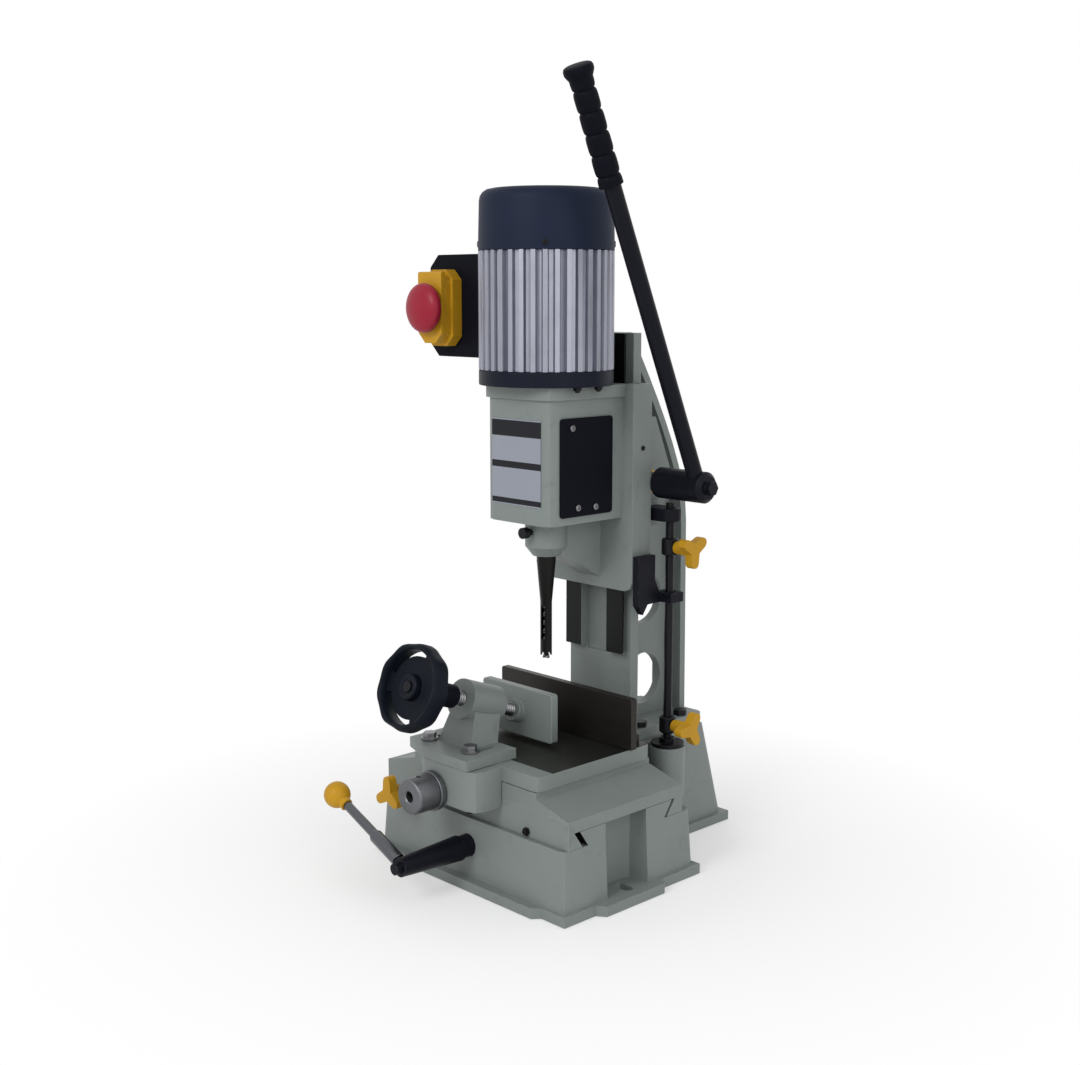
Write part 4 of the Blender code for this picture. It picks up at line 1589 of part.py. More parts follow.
def cross_drive(table_slide):
    """Cross screw in the nose with its dial hub."""
    turn = joint_frame("cross_screw_turn", (CROSS_X, NOSE_FRONT_Y, CROSS_Z), table_slide)
    screw = turned([
        (0, -CROSS_REAR_Y), (CROSS_RADIUS, -CROSS_REAR_Y), (CROSS_RADIUS, -NOSE_REAR_Y),
        (CROSS_JOURNAL_RADIUS, -NOSE_REAR_Y), (CROSS_JOURNAL_RADIUS, -NOSE_FRONT_Y),
        (CROSS_RADIUS, -NOSE_FRONT_Y), (CROSS_RADIUS, -CROSS_HUB_FRONT_Y - CROSS_SOCKET_DEPTH),
        (0, -CROSS_HUB_FRONT_Y - CROSS_SOCKET_DEPTH)], (CROSS_X, 0, CROSS_Z), (0, -1, 0))
    piece("cross_screw", screw, BRIGHT_STEEL, turn)
    rear = -NOSE_FRONT_Y + FIT
    front = -CROSS_HUB_FRONT_Y
    hub = turned([
        (CROSS_RADIUS + FIT, rear), (CROSS_DIAL_RADIUS, rear), (CROSS_DIAL_RADIUS, rear + CROSS_DIAL),
        (CROSS_HUB_RADIUS, rear + CROSS_DIAL + CROSS_CHAMFER / 2), (CROSS_HUB_RADIUS, front - CROSS_CHAMFER),
        (CROSS_HUB_RADIUS - CROSS_CHAMFER, front), (CROSS_SOCKET_RADIUS, front),
        (CROSS_SOCKET_RADIUS, front - CROSS_SOCKET_DEPTH + FIT),
        (CROSS_RADIUS + FIT, front - CROSS_SOCKET_DEPTH + FIT)],
        (CROSS_X, 0, CROSS_Z), (0, -1, 0))
    piece("cross_hub", hub, BARE_ALUMINIUM, turn)


def fence(table_slide):
    """Angle-section fence behind the chisel."""
    seat = TABLE_TOP_Z + FIT
    blade = prism(rounded(-FENCE_HALF_WIDTH, FENCE_HALF_WIDTH, seat, FENCE_TOP_Z, FENCE_CORNER, (0, 0, 1, 1)),
                  FENCE_FRONT_Y, FENCE_FRONT_Y + FENCE_THICKNESS, "Y")
    foot = box((-FENCE_FOOT_HALF_WIDTH, FENCE_FRONT_Y + FENCE_THICKNESS / 2, seat),
               (FENCE_FOOT_HALF_WIDTH, FENCE_FOOT_REAR_Y, seat + FENCE_FOOT_HEIGHT))
    piece("fence", fuse(blade, foot), DARK_STEEL, table_slide)


def screw_line(distance):
    """Point on the tilted vise screw, forward of the boss's front face."""
    return Vector((VISE_X, VISE_FRONT_Y - distance * math.cos(VISE_TILT),
                   VISE_FRONT_Z + distance * math.sin(VISE_TILT)))


def vise_bracket(table_slide):
    """Slotted bracket with the tilted screw boss and its two bolts."""
    seat = TABLE_TOP_Z + FIT
    left = VISE_X - BRACKET_HALF_WIDTH
    right = VISE_X + BRACKET_HALF_WIDTH
    plate = prism([
        (left, BRACKET_FRONT_Y + BRACKET_CLIP_Y), (left + BRACKET_CLIP_X, BRACKET_FRONT_Y),
        (right, BRACKET_FRONT_Y), (right, BRACKET_REAR_Y), (left, BRACKET_REAR_Y)],
        seat, seat + BRACKET_HEIGHT)
    pedestal = loft([
        [(VISE_X - PEDESTAL_HALF_WIDTH, PEDESTAL_FRONT_Y, seat + BRACKET_HEIGHT / 2),
         (VISE_X + PEDESTAL_HALF_WIDTH, PEDESTAL_FRONT_Y, seat + BRACKET_HEIGHT / 2),
         (VISE_X + PEDESTAL_HALF_WIDTH, PEDESTAL_REAR_Y, seat + BRACKET_HEIGHT / 2),
         (VISE_X - PEDESTAL_HALF_WIDTH, PEDESTAL_REAR_Y, seat + BRACKET_HEIGHT / 2)],
        [(VISE_X - PEDESTAL_TOP_HALF_WIDTH, PEDESTAL_TOP_FRONT_Y, PEDESTAL_TOP_Z),
         (VISE_X + PEDESTAL_TOP_HALF_WIDTH, PEDESTAL_TOP_FRONT_Y, PEDESTAL_TOP_Z),
         (VISE_X + PEDESTAL_TOP_HALF_WIDTH, PEDESTAL_TOP_REAR_Y, PEDESTAL_TOP_Z),
         (VISE_X - PEDESTAL_TOP_HALF_WIDTH, PEDESTAL_TOP_REAR_Y, PEDESTAL_TOP_Z)]])
    boss = bar(BOSS_RADIUS, screw_line(0), screw_line(-BOSS_LENGTH), ROUND_LARGE)
    body = fuse(plate, pedestal, boss)
    thread = bar(VISE_SCREW_RADIUS + FIT, screw_line(OVERRUN), screw_line(-BOSS_LENGTH - OVERRUN))
    slots = [
        prism(slot((VISE_X + side * CLAMP_SLOT_X, CLAMP_SLOT_CENTRE_Y), CLAMP_SLOT_LENGTH, CLAMP_SLOT_WIDTH),
              seat - OVERRUN, seat + BRACKET_HEIGHT + OVERRUN)
        for side in (-1, 1)
    ]
    piece("clamp_bracket", cut(body, thread, *slots), CAST_PAINT, table_slide)

    washer_z = seat + BRACKET_HEIGHT + FIT
    for number, side in enumerate((-1, 1), 1):
        x = VISE_X + side * CLAMP_SLOT_X
        washer = turned([
            (0, bolt_tip_z()), (CLAMP_BOLT_RADIUS, bolt_tip_z()), (CLAMP_BOLT_RADIUS, washer_z),
            (CLAMP_WASHER_RADIUS, washer_z), (CLAMP_WASHER_RADIUS, washer_z + CLAMP_WASHER),
            (0, washer_z + CLAMP_WASHER)], (x, CLAMP_BOLT_Y, 0))
        head = prism(moved(hexagon(CLAMP_HEAD_RADIUS), x, CLAMP_BOLT_Y), washer_z + CLAMP_WASHER / 2,
                     washer_z + CLAMP_WASHER + CLAMP_HEAD)
        piece(f"clamp_bolt_{number}", fuse(washer, head), BRIGHT_STEEL, table_slide)


def jaw_reach():
    """Distance back along the screw line from the boss's face to the jaw."""
    return (JAW_FRONT_Y - VISE_FRONT_Y) / math.cos(VISE_TILT)


def wheel_rim_radius(angle):
    """Outer radius of the scalloped rim at an angle."""
    return WHEEL_RADIUS - WHEEL_SCALLOP_DEPTH * (0.5 - 0.5 * math.cos(WHEEL_SCALLOPS * angle))


def vise(table_slide):
    """Jaw, screw and dished handwheel on the tilted screw line."""
    jaw_slide = joint_frame("vise_jaw_slide", screw_line(0), table_slide)
    rear_y = JAW_FRONT_Y + JAW_THICKNESS
    plate = prism(rounded(VISE_X - JAW_HALF_WIDTH, VISE_X + JAW_HALF_WIDTH, JAW_BOTTOM_Z, JAW_TOP_Z,
                          JAW_CORNER), JAW_FRONT_Y, rear_y, "Y")
    reach = jaw_reach()
    boss = bar(JAW_BOSS_RADIUS, screw_line(-reach + JAW_BOSS_LENGTH), screw_line(-reach - JAW_BOSS_LENGTH))
    trim = box((VISE_X - JAW_HALF_WIDTH, rear_y - FIT, JAW_BOTTOM_Z),
               (VISE_X + JAW_HALF_WIDTH, rear_y + JAW_HALF_WIDTH, JAW_TOP_Z))
    socket = bar(VISE_SCREW_TIP_RADIUS + FIT, screw_line(0),
                 screw_line(-reach + JAW_BOSS_LENGTH - JAW_SOCKET_DEPTH))
    piece("vise_jaw", cut(fuse(plate, cut(boss, trim)), socket), CAST_PAINT, jaw_slide)

    turn = joint_frame("vise_screw_turn", screw_line(0), jaw_slide)
    line = (0, -math.cos(VISE_TILT), math.sin(VISE_TILT))
    hub_z = WHEEL_HUB_START
    tip = -reach + JAW_BOSS_LENGTH - JAW_SOCKET_DEPTH + FIT
    shoulder = -reach + JAW_BOSS_LENGTH + FIT
    end = hub_z + WHEEL_HUB_LENGTH
    screw = turned([
        (0, tip), (VISE_SCREW_TIP_RADIUS, tip), (VISE_SCREW_TIP_RADIUS, shoulder),
        (VISE_SCREW_RADIUS, shoulder), (VISE_SCREW_RADIUS, VISE_COLLAR_START),
        (VISE_COLLAR_RADIUS, VISE_COLLAR_START), (VISE_COLLAR_RADIUS, VISE_COLLAR_START + VISE_COLLAR),
        (VISE_SCREW_TIP_RADIUS, VISE_COLLAR_START + VISE_COLLAR), (VISE_SCREW_TIP_RADIUS, end), (0, end)],
        screw_line(0), line)
    piece("vise_screw", screw, BLACK_OXIDE, turn)

    rim_low = hub_z + WHEEL_DISH - WHEEL_RIM_DEPTH / 2
    rim_high = rim_low + WHEEL_RIM_DEPTH
    inner = WHEEL_RADIUS - WHEEL_RIM_WALL
    steps = 4 * WHEEL_SCALLOPS
    rings = []
    for level, shrink in ((rim_low, WHEEL_CROWN), (rim_low + WHEEL_CROWN, 0),
                          (rim_high - WHEEL_CROWN, 0), (rim_high, WHEEL_CROWN)):
        rings.append([
            ((wheel_rim_radius(math.tau * k / steps) - shrink) * math.cos(math.tau * k / steps),
             (wheel_rim_radius(math.tau * k / steps) - shrink) * math.sin(math.tau * k / steps), level)
            for k in range(steps)])
    rim = cut(loft(rings), bar(inner, (0, 0, rim_low - OVERRUN), (0, 0, rim_high + OVERRUN), ROUND_LARGE))
    web = turned([
        (VISE_SCREW_TIP_RADIUS + FIT, hub_z), (WHEEL_HUB_RADIUS, hub_z),
        (WHEEL_HUB_RADIUS, hub_z + WHEEL_WEB / 2), (inner + WHEEL_RIM_WALL / 2, rim_low + WHEEL_CROWN),
        (inner + WHEEL_RIM_WALL / 2, rim_low + WHEEL_CROWN + WHEEL_WEB),
        (WHEEL_HUB_RADIUS, hub_z + WHEEL_WEB / 2 + WHEEL_WEB), (WHEEL_HUB_RADIUS - WHEEL_CROWN / 2, end),
        (VISE_SCREW_TIP_RADIUS + FIT, end)], segments=ROUND_LARGE)
    wheel = fuse(rim, web)
    gaps = []
    for number in range(WHEEL_SPOKES):
        start = math.tau * number / WHEEL_SPOKES - WHEEL_GAP_SWEEP / 2
        outline = arc((0, 0), WHEEL_GAP_OUTER_RADIUS, start, WHEEL_GAP_SWEEP, 2 * CORNER_STEPS)
        outline += reversed(arc((0, 0), WHEEL_GAP_INNER_RADIUS, start, WHEEL_GAP_SWEEP, 2 * CORNER_STEPS))
        gaps.append(prism(outline, rim_low - OVERRUN, rim_high + OVERRUN))
    wheel = cut(wheel, *gaps)
    wheel.transform(frame_on(screw_line(0), line))
    piece("vise_handwheel", wheel, BLACK_PLASTIC, turn)


def build():
    """Make every piece, grouped by the body that carries it."""
    clear_scene()
    base_casting()
    column_casting()
    column_bolts()
    depth_rod()
    stop_collar("upper_stop", UPPER_COLLAR_Z)
    stop_collar("lower_stop", LOWER_COLLAR_Z)
    head = joint_frame("head_slide", (0, 0, HEAD_TOP_Z))
    spindle = joint_frame("spindle_turn", (0, 0, HEAD_TOP_Z), head)
    head_casting(head)
    head_fittings(head)
    hollow_chisel(head)
    auger_bit(spindle)
    drill_chuck(spindle)
    motor_shaft(spindle)
    motor(head, spindle)
    switch(head)
    feed_drive()
    saddle_slide = joint_frame("saddle_slide", (0, 0, WAY_TOP_Z))
    saddle(saddle_slide)
    traverse_drive()
    table_slide = joint_frame("table_slide", (0, 0, TABLE_BOTTOM_Z), saddle_slide)
    table(table_slide)
    cross_drive(table_slide)
    fence(table_slide)
    vise_bracket(table_slide)
    vise(table_slide)


build()
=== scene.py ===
"""Finished surfaces, small parts and stage of a bench hollow chisel mortiser."""

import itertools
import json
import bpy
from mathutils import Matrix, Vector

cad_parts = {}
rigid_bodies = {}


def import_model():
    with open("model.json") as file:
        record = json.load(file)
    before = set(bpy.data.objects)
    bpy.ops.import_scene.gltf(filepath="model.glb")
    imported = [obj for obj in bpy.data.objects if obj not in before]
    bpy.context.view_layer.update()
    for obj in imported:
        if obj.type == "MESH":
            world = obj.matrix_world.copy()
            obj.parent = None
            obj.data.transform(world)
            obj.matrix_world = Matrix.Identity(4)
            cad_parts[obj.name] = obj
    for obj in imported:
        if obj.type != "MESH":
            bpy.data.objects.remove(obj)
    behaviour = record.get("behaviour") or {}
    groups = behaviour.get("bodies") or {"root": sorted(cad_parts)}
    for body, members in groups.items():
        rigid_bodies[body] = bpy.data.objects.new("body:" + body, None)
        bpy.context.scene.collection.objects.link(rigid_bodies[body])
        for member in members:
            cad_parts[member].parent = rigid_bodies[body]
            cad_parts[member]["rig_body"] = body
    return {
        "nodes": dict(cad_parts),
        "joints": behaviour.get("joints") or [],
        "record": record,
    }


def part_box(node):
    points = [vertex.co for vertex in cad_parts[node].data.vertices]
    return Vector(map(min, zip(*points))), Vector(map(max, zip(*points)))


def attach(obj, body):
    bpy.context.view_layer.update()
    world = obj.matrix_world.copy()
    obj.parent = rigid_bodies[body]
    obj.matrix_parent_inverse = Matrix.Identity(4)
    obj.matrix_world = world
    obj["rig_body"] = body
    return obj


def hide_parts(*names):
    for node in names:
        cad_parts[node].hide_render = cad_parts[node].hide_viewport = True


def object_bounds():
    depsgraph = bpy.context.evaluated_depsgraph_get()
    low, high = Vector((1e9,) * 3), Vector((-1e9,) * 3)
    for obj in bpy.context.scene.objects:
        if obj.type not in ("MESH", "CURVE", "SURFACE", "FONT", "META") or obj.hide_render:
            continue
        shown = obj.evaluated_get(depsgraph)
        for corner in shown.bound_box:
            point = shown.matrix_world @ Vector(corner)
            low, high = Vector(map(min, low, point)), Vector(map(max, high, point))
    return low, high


bl_info = {
    "name": "Bench Mortiser Finish",
    "version": (1, 0, 0),
    "blender": (4, 5, 0),
    "location": "View3D > Sidebar > Mortiser",
    "description": "Surfaces, small parts and stage of a bench hollow chisel mortiser",
    "category": "Object",
}

from math import acos, cos, hypot, pi, radians, sin, sqrt, tau

import bmesh
import bpy
import numpy as np
from bpy.props import FloatProperty, FloatVectorProperty, IntProperty, PointerProperty
from bpy.types import Operator, Panel, PropertyGroup
from mathutils import Matrix, Vector

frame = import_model()
CAD_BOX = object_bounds()
MADE = {}

UP = Vector((0, 0, 1))
ACROSS = Vector((1, 0, 0))
DEPTH = Vector((0, 1, 0))
CLOSE = 0.00002
WIDEST_FLAT = radians(46)
SHARP = radians(34)
FLAT = radians(0.6)
BEVEL_ANGLE = radians(38)
LINES_PER_M = 2600

PLATE_LOW_Z = 0.3665
PLATE_HIGH_Z = 0.4495
PLATE_BANDS = ((0.013, 0.075), (0.431, 0.51), (0.801, 0.985))
PLATE_HALF = 0.0340
PLATE_THICKNESS = 0.0006
COVER_SCREWS = ((0.21, 0.90), (0.32, 0.09), (0.66, 0.08))
COVER_SCREW_HEIGHT = 0.0016
GIB_SCREW_Z = 0.418
SLIDE_SCREW_X = 0.005
SLIDE_SCREW_Z = 0.303
FLANGE_BOLTS_DEG = (14, -14, 166, 194)
SADDLE_SCREWS_X = (-0.004, 0.077)
LOCK_NUT = 0.0042
VALLEY_LEAST = 0.055
VALLEY_FILL = 0.35
GRIP_RIBS = 5
GRIP_STEPS = 60
GRIP_TOP = 0.0113
GRIP_WAIST = 0.0094
GRIP_TAPER = 0.04
GRIP_END = 0.012
GRIP_FLARE = ((0.93, 0.72), (1, 0.55), (1, 0.25), (0.93, 0.08), (0.78, 0), (0, 0))
SLEEVE_HEIGHTS = (0.0095, 0.046, 0.050)
BALL_TRIM = 0.0008
BALL_NECK = 0.0062
BALL_STEPS = 24
DIAL_STEPS = 120
THREAD_DEPTH = 0.0011
THREAD_STEPS = 28
VISE_PITCH = 0.003
WHEEL_STEPS = 108
WHEEL_SCALLOPS = 9
WHEEL_SCALLOP = 0.0016
WHEEL_GAPS = 3
WHEEL_GAP_SHARE = 0.70
WHEEL_GAP_BAND = 6
# Radius and height of screw heads
GIB_SCREW = (0.0026, 0.0008)
SLIDE_SCREW = (0.0030, 0.0010)
FAN_SCREW = (0.0030, 0.0012)
FENCE_SCREW = (0.0055, 0.005)
HUB_SCREW = (0.0024, 0.0006)
# Radius, rear and front in millimetres
WHEEL_STATIONS = (
    (5.3, 0, 15.5), (10, 0, 16.8), (11.8, 0.4, 16), (12.5, 1.6, 13.8), (13, 3, 9.6),
    (15.5, 3.6, 8.6), (30.2, 5.2, 9.6), (35.4, 5.4, 10), (36, 1, 17.2), (36.8, 0.4, 18.2),
    (38.2, 0.1, 18.8), (40, 0.4, 18.8), (41.5, 1.8, 17.6), (42.3, 4.4, 15.2), (42.5, 8, 12.2),
)

CAMERA_PLACE = (1.03712, -1.00305, 0.5690)
CAMERA_LOOK = (-0.7124757, 0.6832396, -0.1598812)
CAMERA_LENS_MM = 49.333
CAMERA_SENSOR_MM = 36.0
CAMERA_NEAR = 0.01
FLOOR_DROP = 0.0005
WORLD_LEVEL = 0.70
# Name, place and width in metres, and power in watts
LAMPS = (("key_lamp", (0.30, -2.05, 1.6), 0.9, 22.0), ("fill_lamp", (2.2, -0.6, 1.2), 1.6, 13.0))


class Socket:
    """An output of a shader node, with arithmetic that adds Math nodes."""

    def __init__(self, tree, output=None):
        self.tree = tree
        self.output = output

    def make(self, kind, sockets=None, output=0, **settings):
        """Add a shader node with its settings and sockets, and return one output."""
        node = self.tree.nodes.new(f"ShaderNode{kind}")
        for name, value in settings.items():
            if name == "stops":
                elements = node.color_ramp.elements
                while len(elements) < len(value):
                    elements.new(1)
                for element, (position, level) in zip(elements, value):
                    element.position = position
                    element.color = (level, level, level, 1)
            else:
                setattr(node, name, value)
        feed(node, sockets or {})
        return Socket(self.tree, node.outputs[output])

    def calculate(self, operation, first, second):
        """Add one Math node for two numbers or sockets."""
        return self.make("Math", {0: first, 1: second}, operation=operation)

    def __add__(self, other):
        return self.calculate("ADD", self, other)

    __radd__ = __add__

    def __sub__(self, other):
        return self.calculate("SUBTRACT", self, other)

    def __rsub__(self, other):
        return self.calculate("SUBTRACT", other, self)

    def __mul__(self, other):
        return self.calculate("MULTIPLY", self, other)

    __rmul__ = __mul__

    def ramp(self, *stops):
        """Map this value through (position, level) stops."""
        return self.make("ValToRGB", {0: self}, stops=stops)

    def stretched(self, factors):
        """Multiply this vector by three factors."""
        return self.make("VectorMath", {0: self, 1: factors}, operation="MULTIPLY")

    def noise(self, scale, detail=2.0, distortion=0.0):
        """Noise at a scale in cycles per metre, sampled at this vector."""
        return self.make("TexNoise", {
            "Vector": self, "Scale": scale, "Detail": detail, "Distortion": distortion})

    def blend(self, first, second):
        """Mix two colours by this value."""
        return self.make("Mix", {0: self, 6: first, 7: second}, 2, data_type="RGBA")

    def part(self, axis):
        """One coordinate of this vector, X, Y or Z."""
        return self.make("SeparateXYZ", {0: self}, axis)


def feed(node, sockets):
    """Link or set inputs of a shader node."""
    for name, value in sockets.items():
        if isinstance(value, Socket):
            node.id_data.links.new(value.output, node.inputs[name])
        else:
            node.inputs[name].default_value = value


def length(label, description, value):
    """A length property with its default in metres."""
    return FloatProperty(name=label, description=description, default=value, unit="LENGTH")


class MortiserSizes(PropertyGroup):
    """Sizes of the small forms that the finish adds."""

    casting_edge: length("Casting edge", "Rounding of the castings' edges", 0.0013)
    turned_edge: length("Turned edge", "Rounding of turned and milled edges", 0.0005)
    moulded_edge: length("Moulded edge", "Rounding of moulded plastic edges", 0.0009)
    flat_cuts: IntProperty(
        name="Cuts per flat", description="Cuts that make the flats of a round face finer",
        default=3)
    screw_head: length("Cover screw", "Radius of the cover's screw heads", 0.0032)
    way_gap: length("Way gap", "Gap between the saddle and the front of its way", 0.0070)
    table_paint_y: length("Table's paint", "Rear edge of the paint on the table's top", -0.078)
    floor_half: length("Floor", "Half the width of the floor", 6.0)


def colour(label, value):
    """A colour property with its default."""
    return FloatVectorProperty(
        name=label, description=f"Colour of the {label.lower()}", subtype="COLOR", size=4,
        min=0, max=1, default=(*value, 1))


class MortiserColours(PropertyGroup):
    """Colours of the finishes."""

    cast_paint: colour("Machine paint", (0.180, 0.206, 0.197))
    worn_paint: colour("Worn paint", (0.32, 0.34, 0.33))
    grime: colour("Grime in the corners", (0.055, 0.06, 0.052))
    bright_steel: colour("Machined steel", (0.22, 0.22, 0.23))
    table_iron: colour("Oiled table top", (0.044, 0.047, 0.039))
    way_iron: colour("Oiled ways", (0.013, 0.0135, 0.0145))
    dark_steel: colour("Fence", (0.034, 0.031, 0.028))
    chisel_steel: colour("Hollow chisel", (0.0140, 0.0140, 0.0135))
    black_oxide: colour("Black oxide", (0.008, 0.008, 0.011))
    black_paint: colour("Black paint", (0.0050, 0.0054, 0.0090))
    flange_paint: colour("Flange paint", (0.0060, 0.0080, 0.0155))
    black_plastic: colour("Black plastic", (0.0040, 0.0045, 0.0080))
    wheel_plastic: colour("Handwheel plastic", (0.0042, 0.0062, 0.0115))
    navy_plastic: colour("Fan cover plastic", (0.0100, 0.0150, 0.0330))
    yellow_plastic: colour("Yellow plastic", (0.46, 0.245, 0.012))
    red_plastic: colour("Red plastic", (0.26, 0.009, 0.026))
    green_plastic: colour("Green plastic", (0.02, 0.16, 0.05))
    bare_aluminium: colour("Bare aluminium", (0.35, 0.36, 0.42))
    hub_aluminium: colour("Dial hub", (0.17, 0.175, 0.185))
    chrome: colour("Chrome", (0.110, 0.115, 0.125))
    brass: colour("Brass", (0.35, 0.24, 0.09))
    bare_plate: colour("Bare plate", (0.25, 0.265, 0.31))


def sizes():
    """The scene's sizes."""
    return bpy.context.scene.mortiser_sizes


def tint(name):
    """One of the scene's colours."""
    return tuple(getattr(bpy.context.scene.mortiser_colours, name))


def shaded(value, factor):
    """A colour made darker or lighter by a factor."""
    return (*(min(1, channel * factor) for channel in value[:3]), 1)


def empty_tree(owner, output_kind):
    """Clear a material's or world's nodes, and return its tree and the surface to feed."""
    owner.use_nodes = True
    tree = owner.node_tree
    tree.nodes.clear()
    return tree, tree.nodes.new(output_kind).inputs["Surface"]


def start_surface(name, metallic=0.0, coat=0.0, coat_roughness=0.1, gloss=0.5):
    """A new material's shader, the object coordinates to work from, and the finish's colour."""
    material = bpy.data.materials.new(name)
    tree, surface = empty_tree(material, "ShaderNodeOutputMaterial")
    shader = tree.nodes.new("ShaderNodeBsdfPrincipled")
    tree.links.new(shader.outputs[0], surface)
    feed(shader, {"Metallic": metallic, "Coat Weight": coat, "Coat Roughness": coat_roughness,
                  "Specular IOR Level": gloss})
    MADE[name] = material
    return shader, Socket(tree).make("TexCoord", output="Object"), tint(name)


def finish_surface(shader, base, roughness, height, depth, edge):
    """Feed a shader its colour, roughness and a bump over softened edges."""
    start = Socket(shader.id_data)
    soft = start.make("Bevel", {"Radius": edge}, samples=4)
    bump = start.make("Bump", {"Strength": 1.0, "Distance": depth, "Height": height, "Normal": soft})
    feed(shader, {"Base Color": base, "Roughness": roughness, "Normal": bump})


def edge_mask(place, radius):
    """1 on the outer and inner edges of a piece, fading to 0 on its faces."""
    soft = place.make("Bevel", {"Radius": radius}, samples=4)
    normal = place.make("NewGeometry", output="Normal")
    same = place.make("VectorMath", {0: soft, 1: normal}, 1, operation="DOT_PRODUCT")
    return (1 - same).ramp((0.01, 0), (0.12, 1))


def painted_casting(name):
    """Satin machine paint over sand-cast iron, rubbed at the edges."""
    shader, place, hue = start_surface(name, coat=0.06, coat_roughness=0.3, gloss=0.35)
    sand = place.noise(900, 4)
    ripple = place.noise(150, 2)
    mottle = place.noise(14, 4, 0.4)
    smear = place.noise(55, 6, 1.2)
    base = mottle.ramp((0.3, 0), (0.7, 1)).blend(shaded(hue, 0.93), hue)
    dirty = smear.ramp((0.60, 0), (0.78, 1)) * 0.22
    base = dirty.blend(base, tint("grime"))
    rubbed = edge_mask(place, 0.0012) * smear.ramp((0.42, 0), (0.58, 1)) * 0.55
    base = rubbed.blend(base, tint("worn_paint"))
    roughness = 0.36 + sand * 0.16 + mottle * 0.06
    finish_surface(shader, base, roughness, sand * 0.35 + ripple * 0.65, 0.00012, 0.0006)


def machined(name, along, rough, metallic=1.0, contrast=0.24):
    """Ground or milled metal with fine lines that run along one axis."""
    shader, place, hue = start_surface(name, metallic)
    drawn = place.stretched(tuple(0.02 if index == along else 1 for index in range(3)))
    lines = drawn.noise(LINES_PER_M, 3)
    broad = drawn.noise(LINES_PER_M / 9, 2)
    stain = place.noise(38, 5, 0.8)
    base = lines.ramp((0.25, 0), (0.75, 1)).blend(shaded(hue, 1 - contrast), shaded(hue, 1 + contrast))
    base = (stain.ramp((0.55, 0), (0.8, 1)) * 0.35).blend(base, shaded(hue, 0.55))
    roughness = rough + broad * 0.16 + stain * 0.08
    finish_surface(shader, base, roughness, lines * 0.6 + broad * 0.4, 0.00006, 0.0003)


def moulded(name, rough, grain=0.00005, gloss=0.4, wear=0.10, coat=0.0):
    """Moulded plastic with a fine grain, a little scuffed at its edges."""
    shader, place, hue = start_surface(name, coat=coat, gloss=gloss)
    fine = place.noise(1900, 2)
    cloud = place.noise(24, 3)
    scuff = edge_mask(place, 0.0009) * place.noise(170, 5).ramp((0.5, 0), (0.64, 1)) * 0.3
    base = cloud.ramp((0.3, 0), (0.7, 1)).blend(shaded(hue, 0.92), shaded(hue, 1.06))
    worn = tuple(min(1, channel * 0.85 + wear) for channel in hue[:3])
    base = scuff.blend(base, (*worn, 1))
    finish_surface(shader, base, rough + fine * 0.08 + cloud * 0.08, fine, grain, 0.0004)


def painted_metal(name, rough):
    """Smooth sprayed paint on metal, chipped here and there at the edges."""
    shader, place, hue = start_surface(name, gloss=0.10)
    skin = place.noise(420, 3)
    chips = edge_mask(place, 0.0008) * place.noise(310, 4).ramp((0.56, 0), (0.60, 1))
    base = place.noise(30, 3).blend(shaded(hue, 0.85), shaded(hue, 1.25))
    base = (chips * 0.7).blend(base, shaded(tint("bright_steel"), 0.5))
    finish_surface(shader, base, rough + skin * 0.12, skin, 0.00003, 0.0004)


def extruded_aluminium(name):
    """Bare extruded aluminium, drawn along the motor's axis."""
    shader, place, hue = start_surface(name, 1.0)
    drawn = place.stretched((1, 1, 0.012)).noise(1500, 3)
    cloud = place.noise(45, 4)
    base = drawn.ramp((0.3, 0), (0.7, 1)).blend(shaded(hue, 0.86), hue)
    base = (cloud.ramp((0.5, 0), (0.8, 1)) * 0.3).blend(base, shaded(hue, 0.6))
    finish_surface(shader, base, 0.38 + drawn * 0.14, drawn, 0.00004, 0.0003)


def banded_plate(name):
    """Blank printed plate: a pale field between dark bands."""
    shader, place, hue = start_surface(name, gloss=0.2)
    share = (place.part("Z") - PLATE_LOW_Z) * (1 / (PLATE_HIGH_Z - PLATE_LOW_Z))
    stops = [((low - 0.001, 0), (low, 1), (high, 1), (high + 0.001, 0)) for low, high in PLATE_BANDS]
    bands = share.ramp(*sum(stops, ()))
    fleck = place.noise(700, 2)
    base = bands.blend(hue, tint("black_paint"))
    finish_surface(shader, base, 0.30 + fleck * 0.1, fleck, 0.00002, 0.0002)


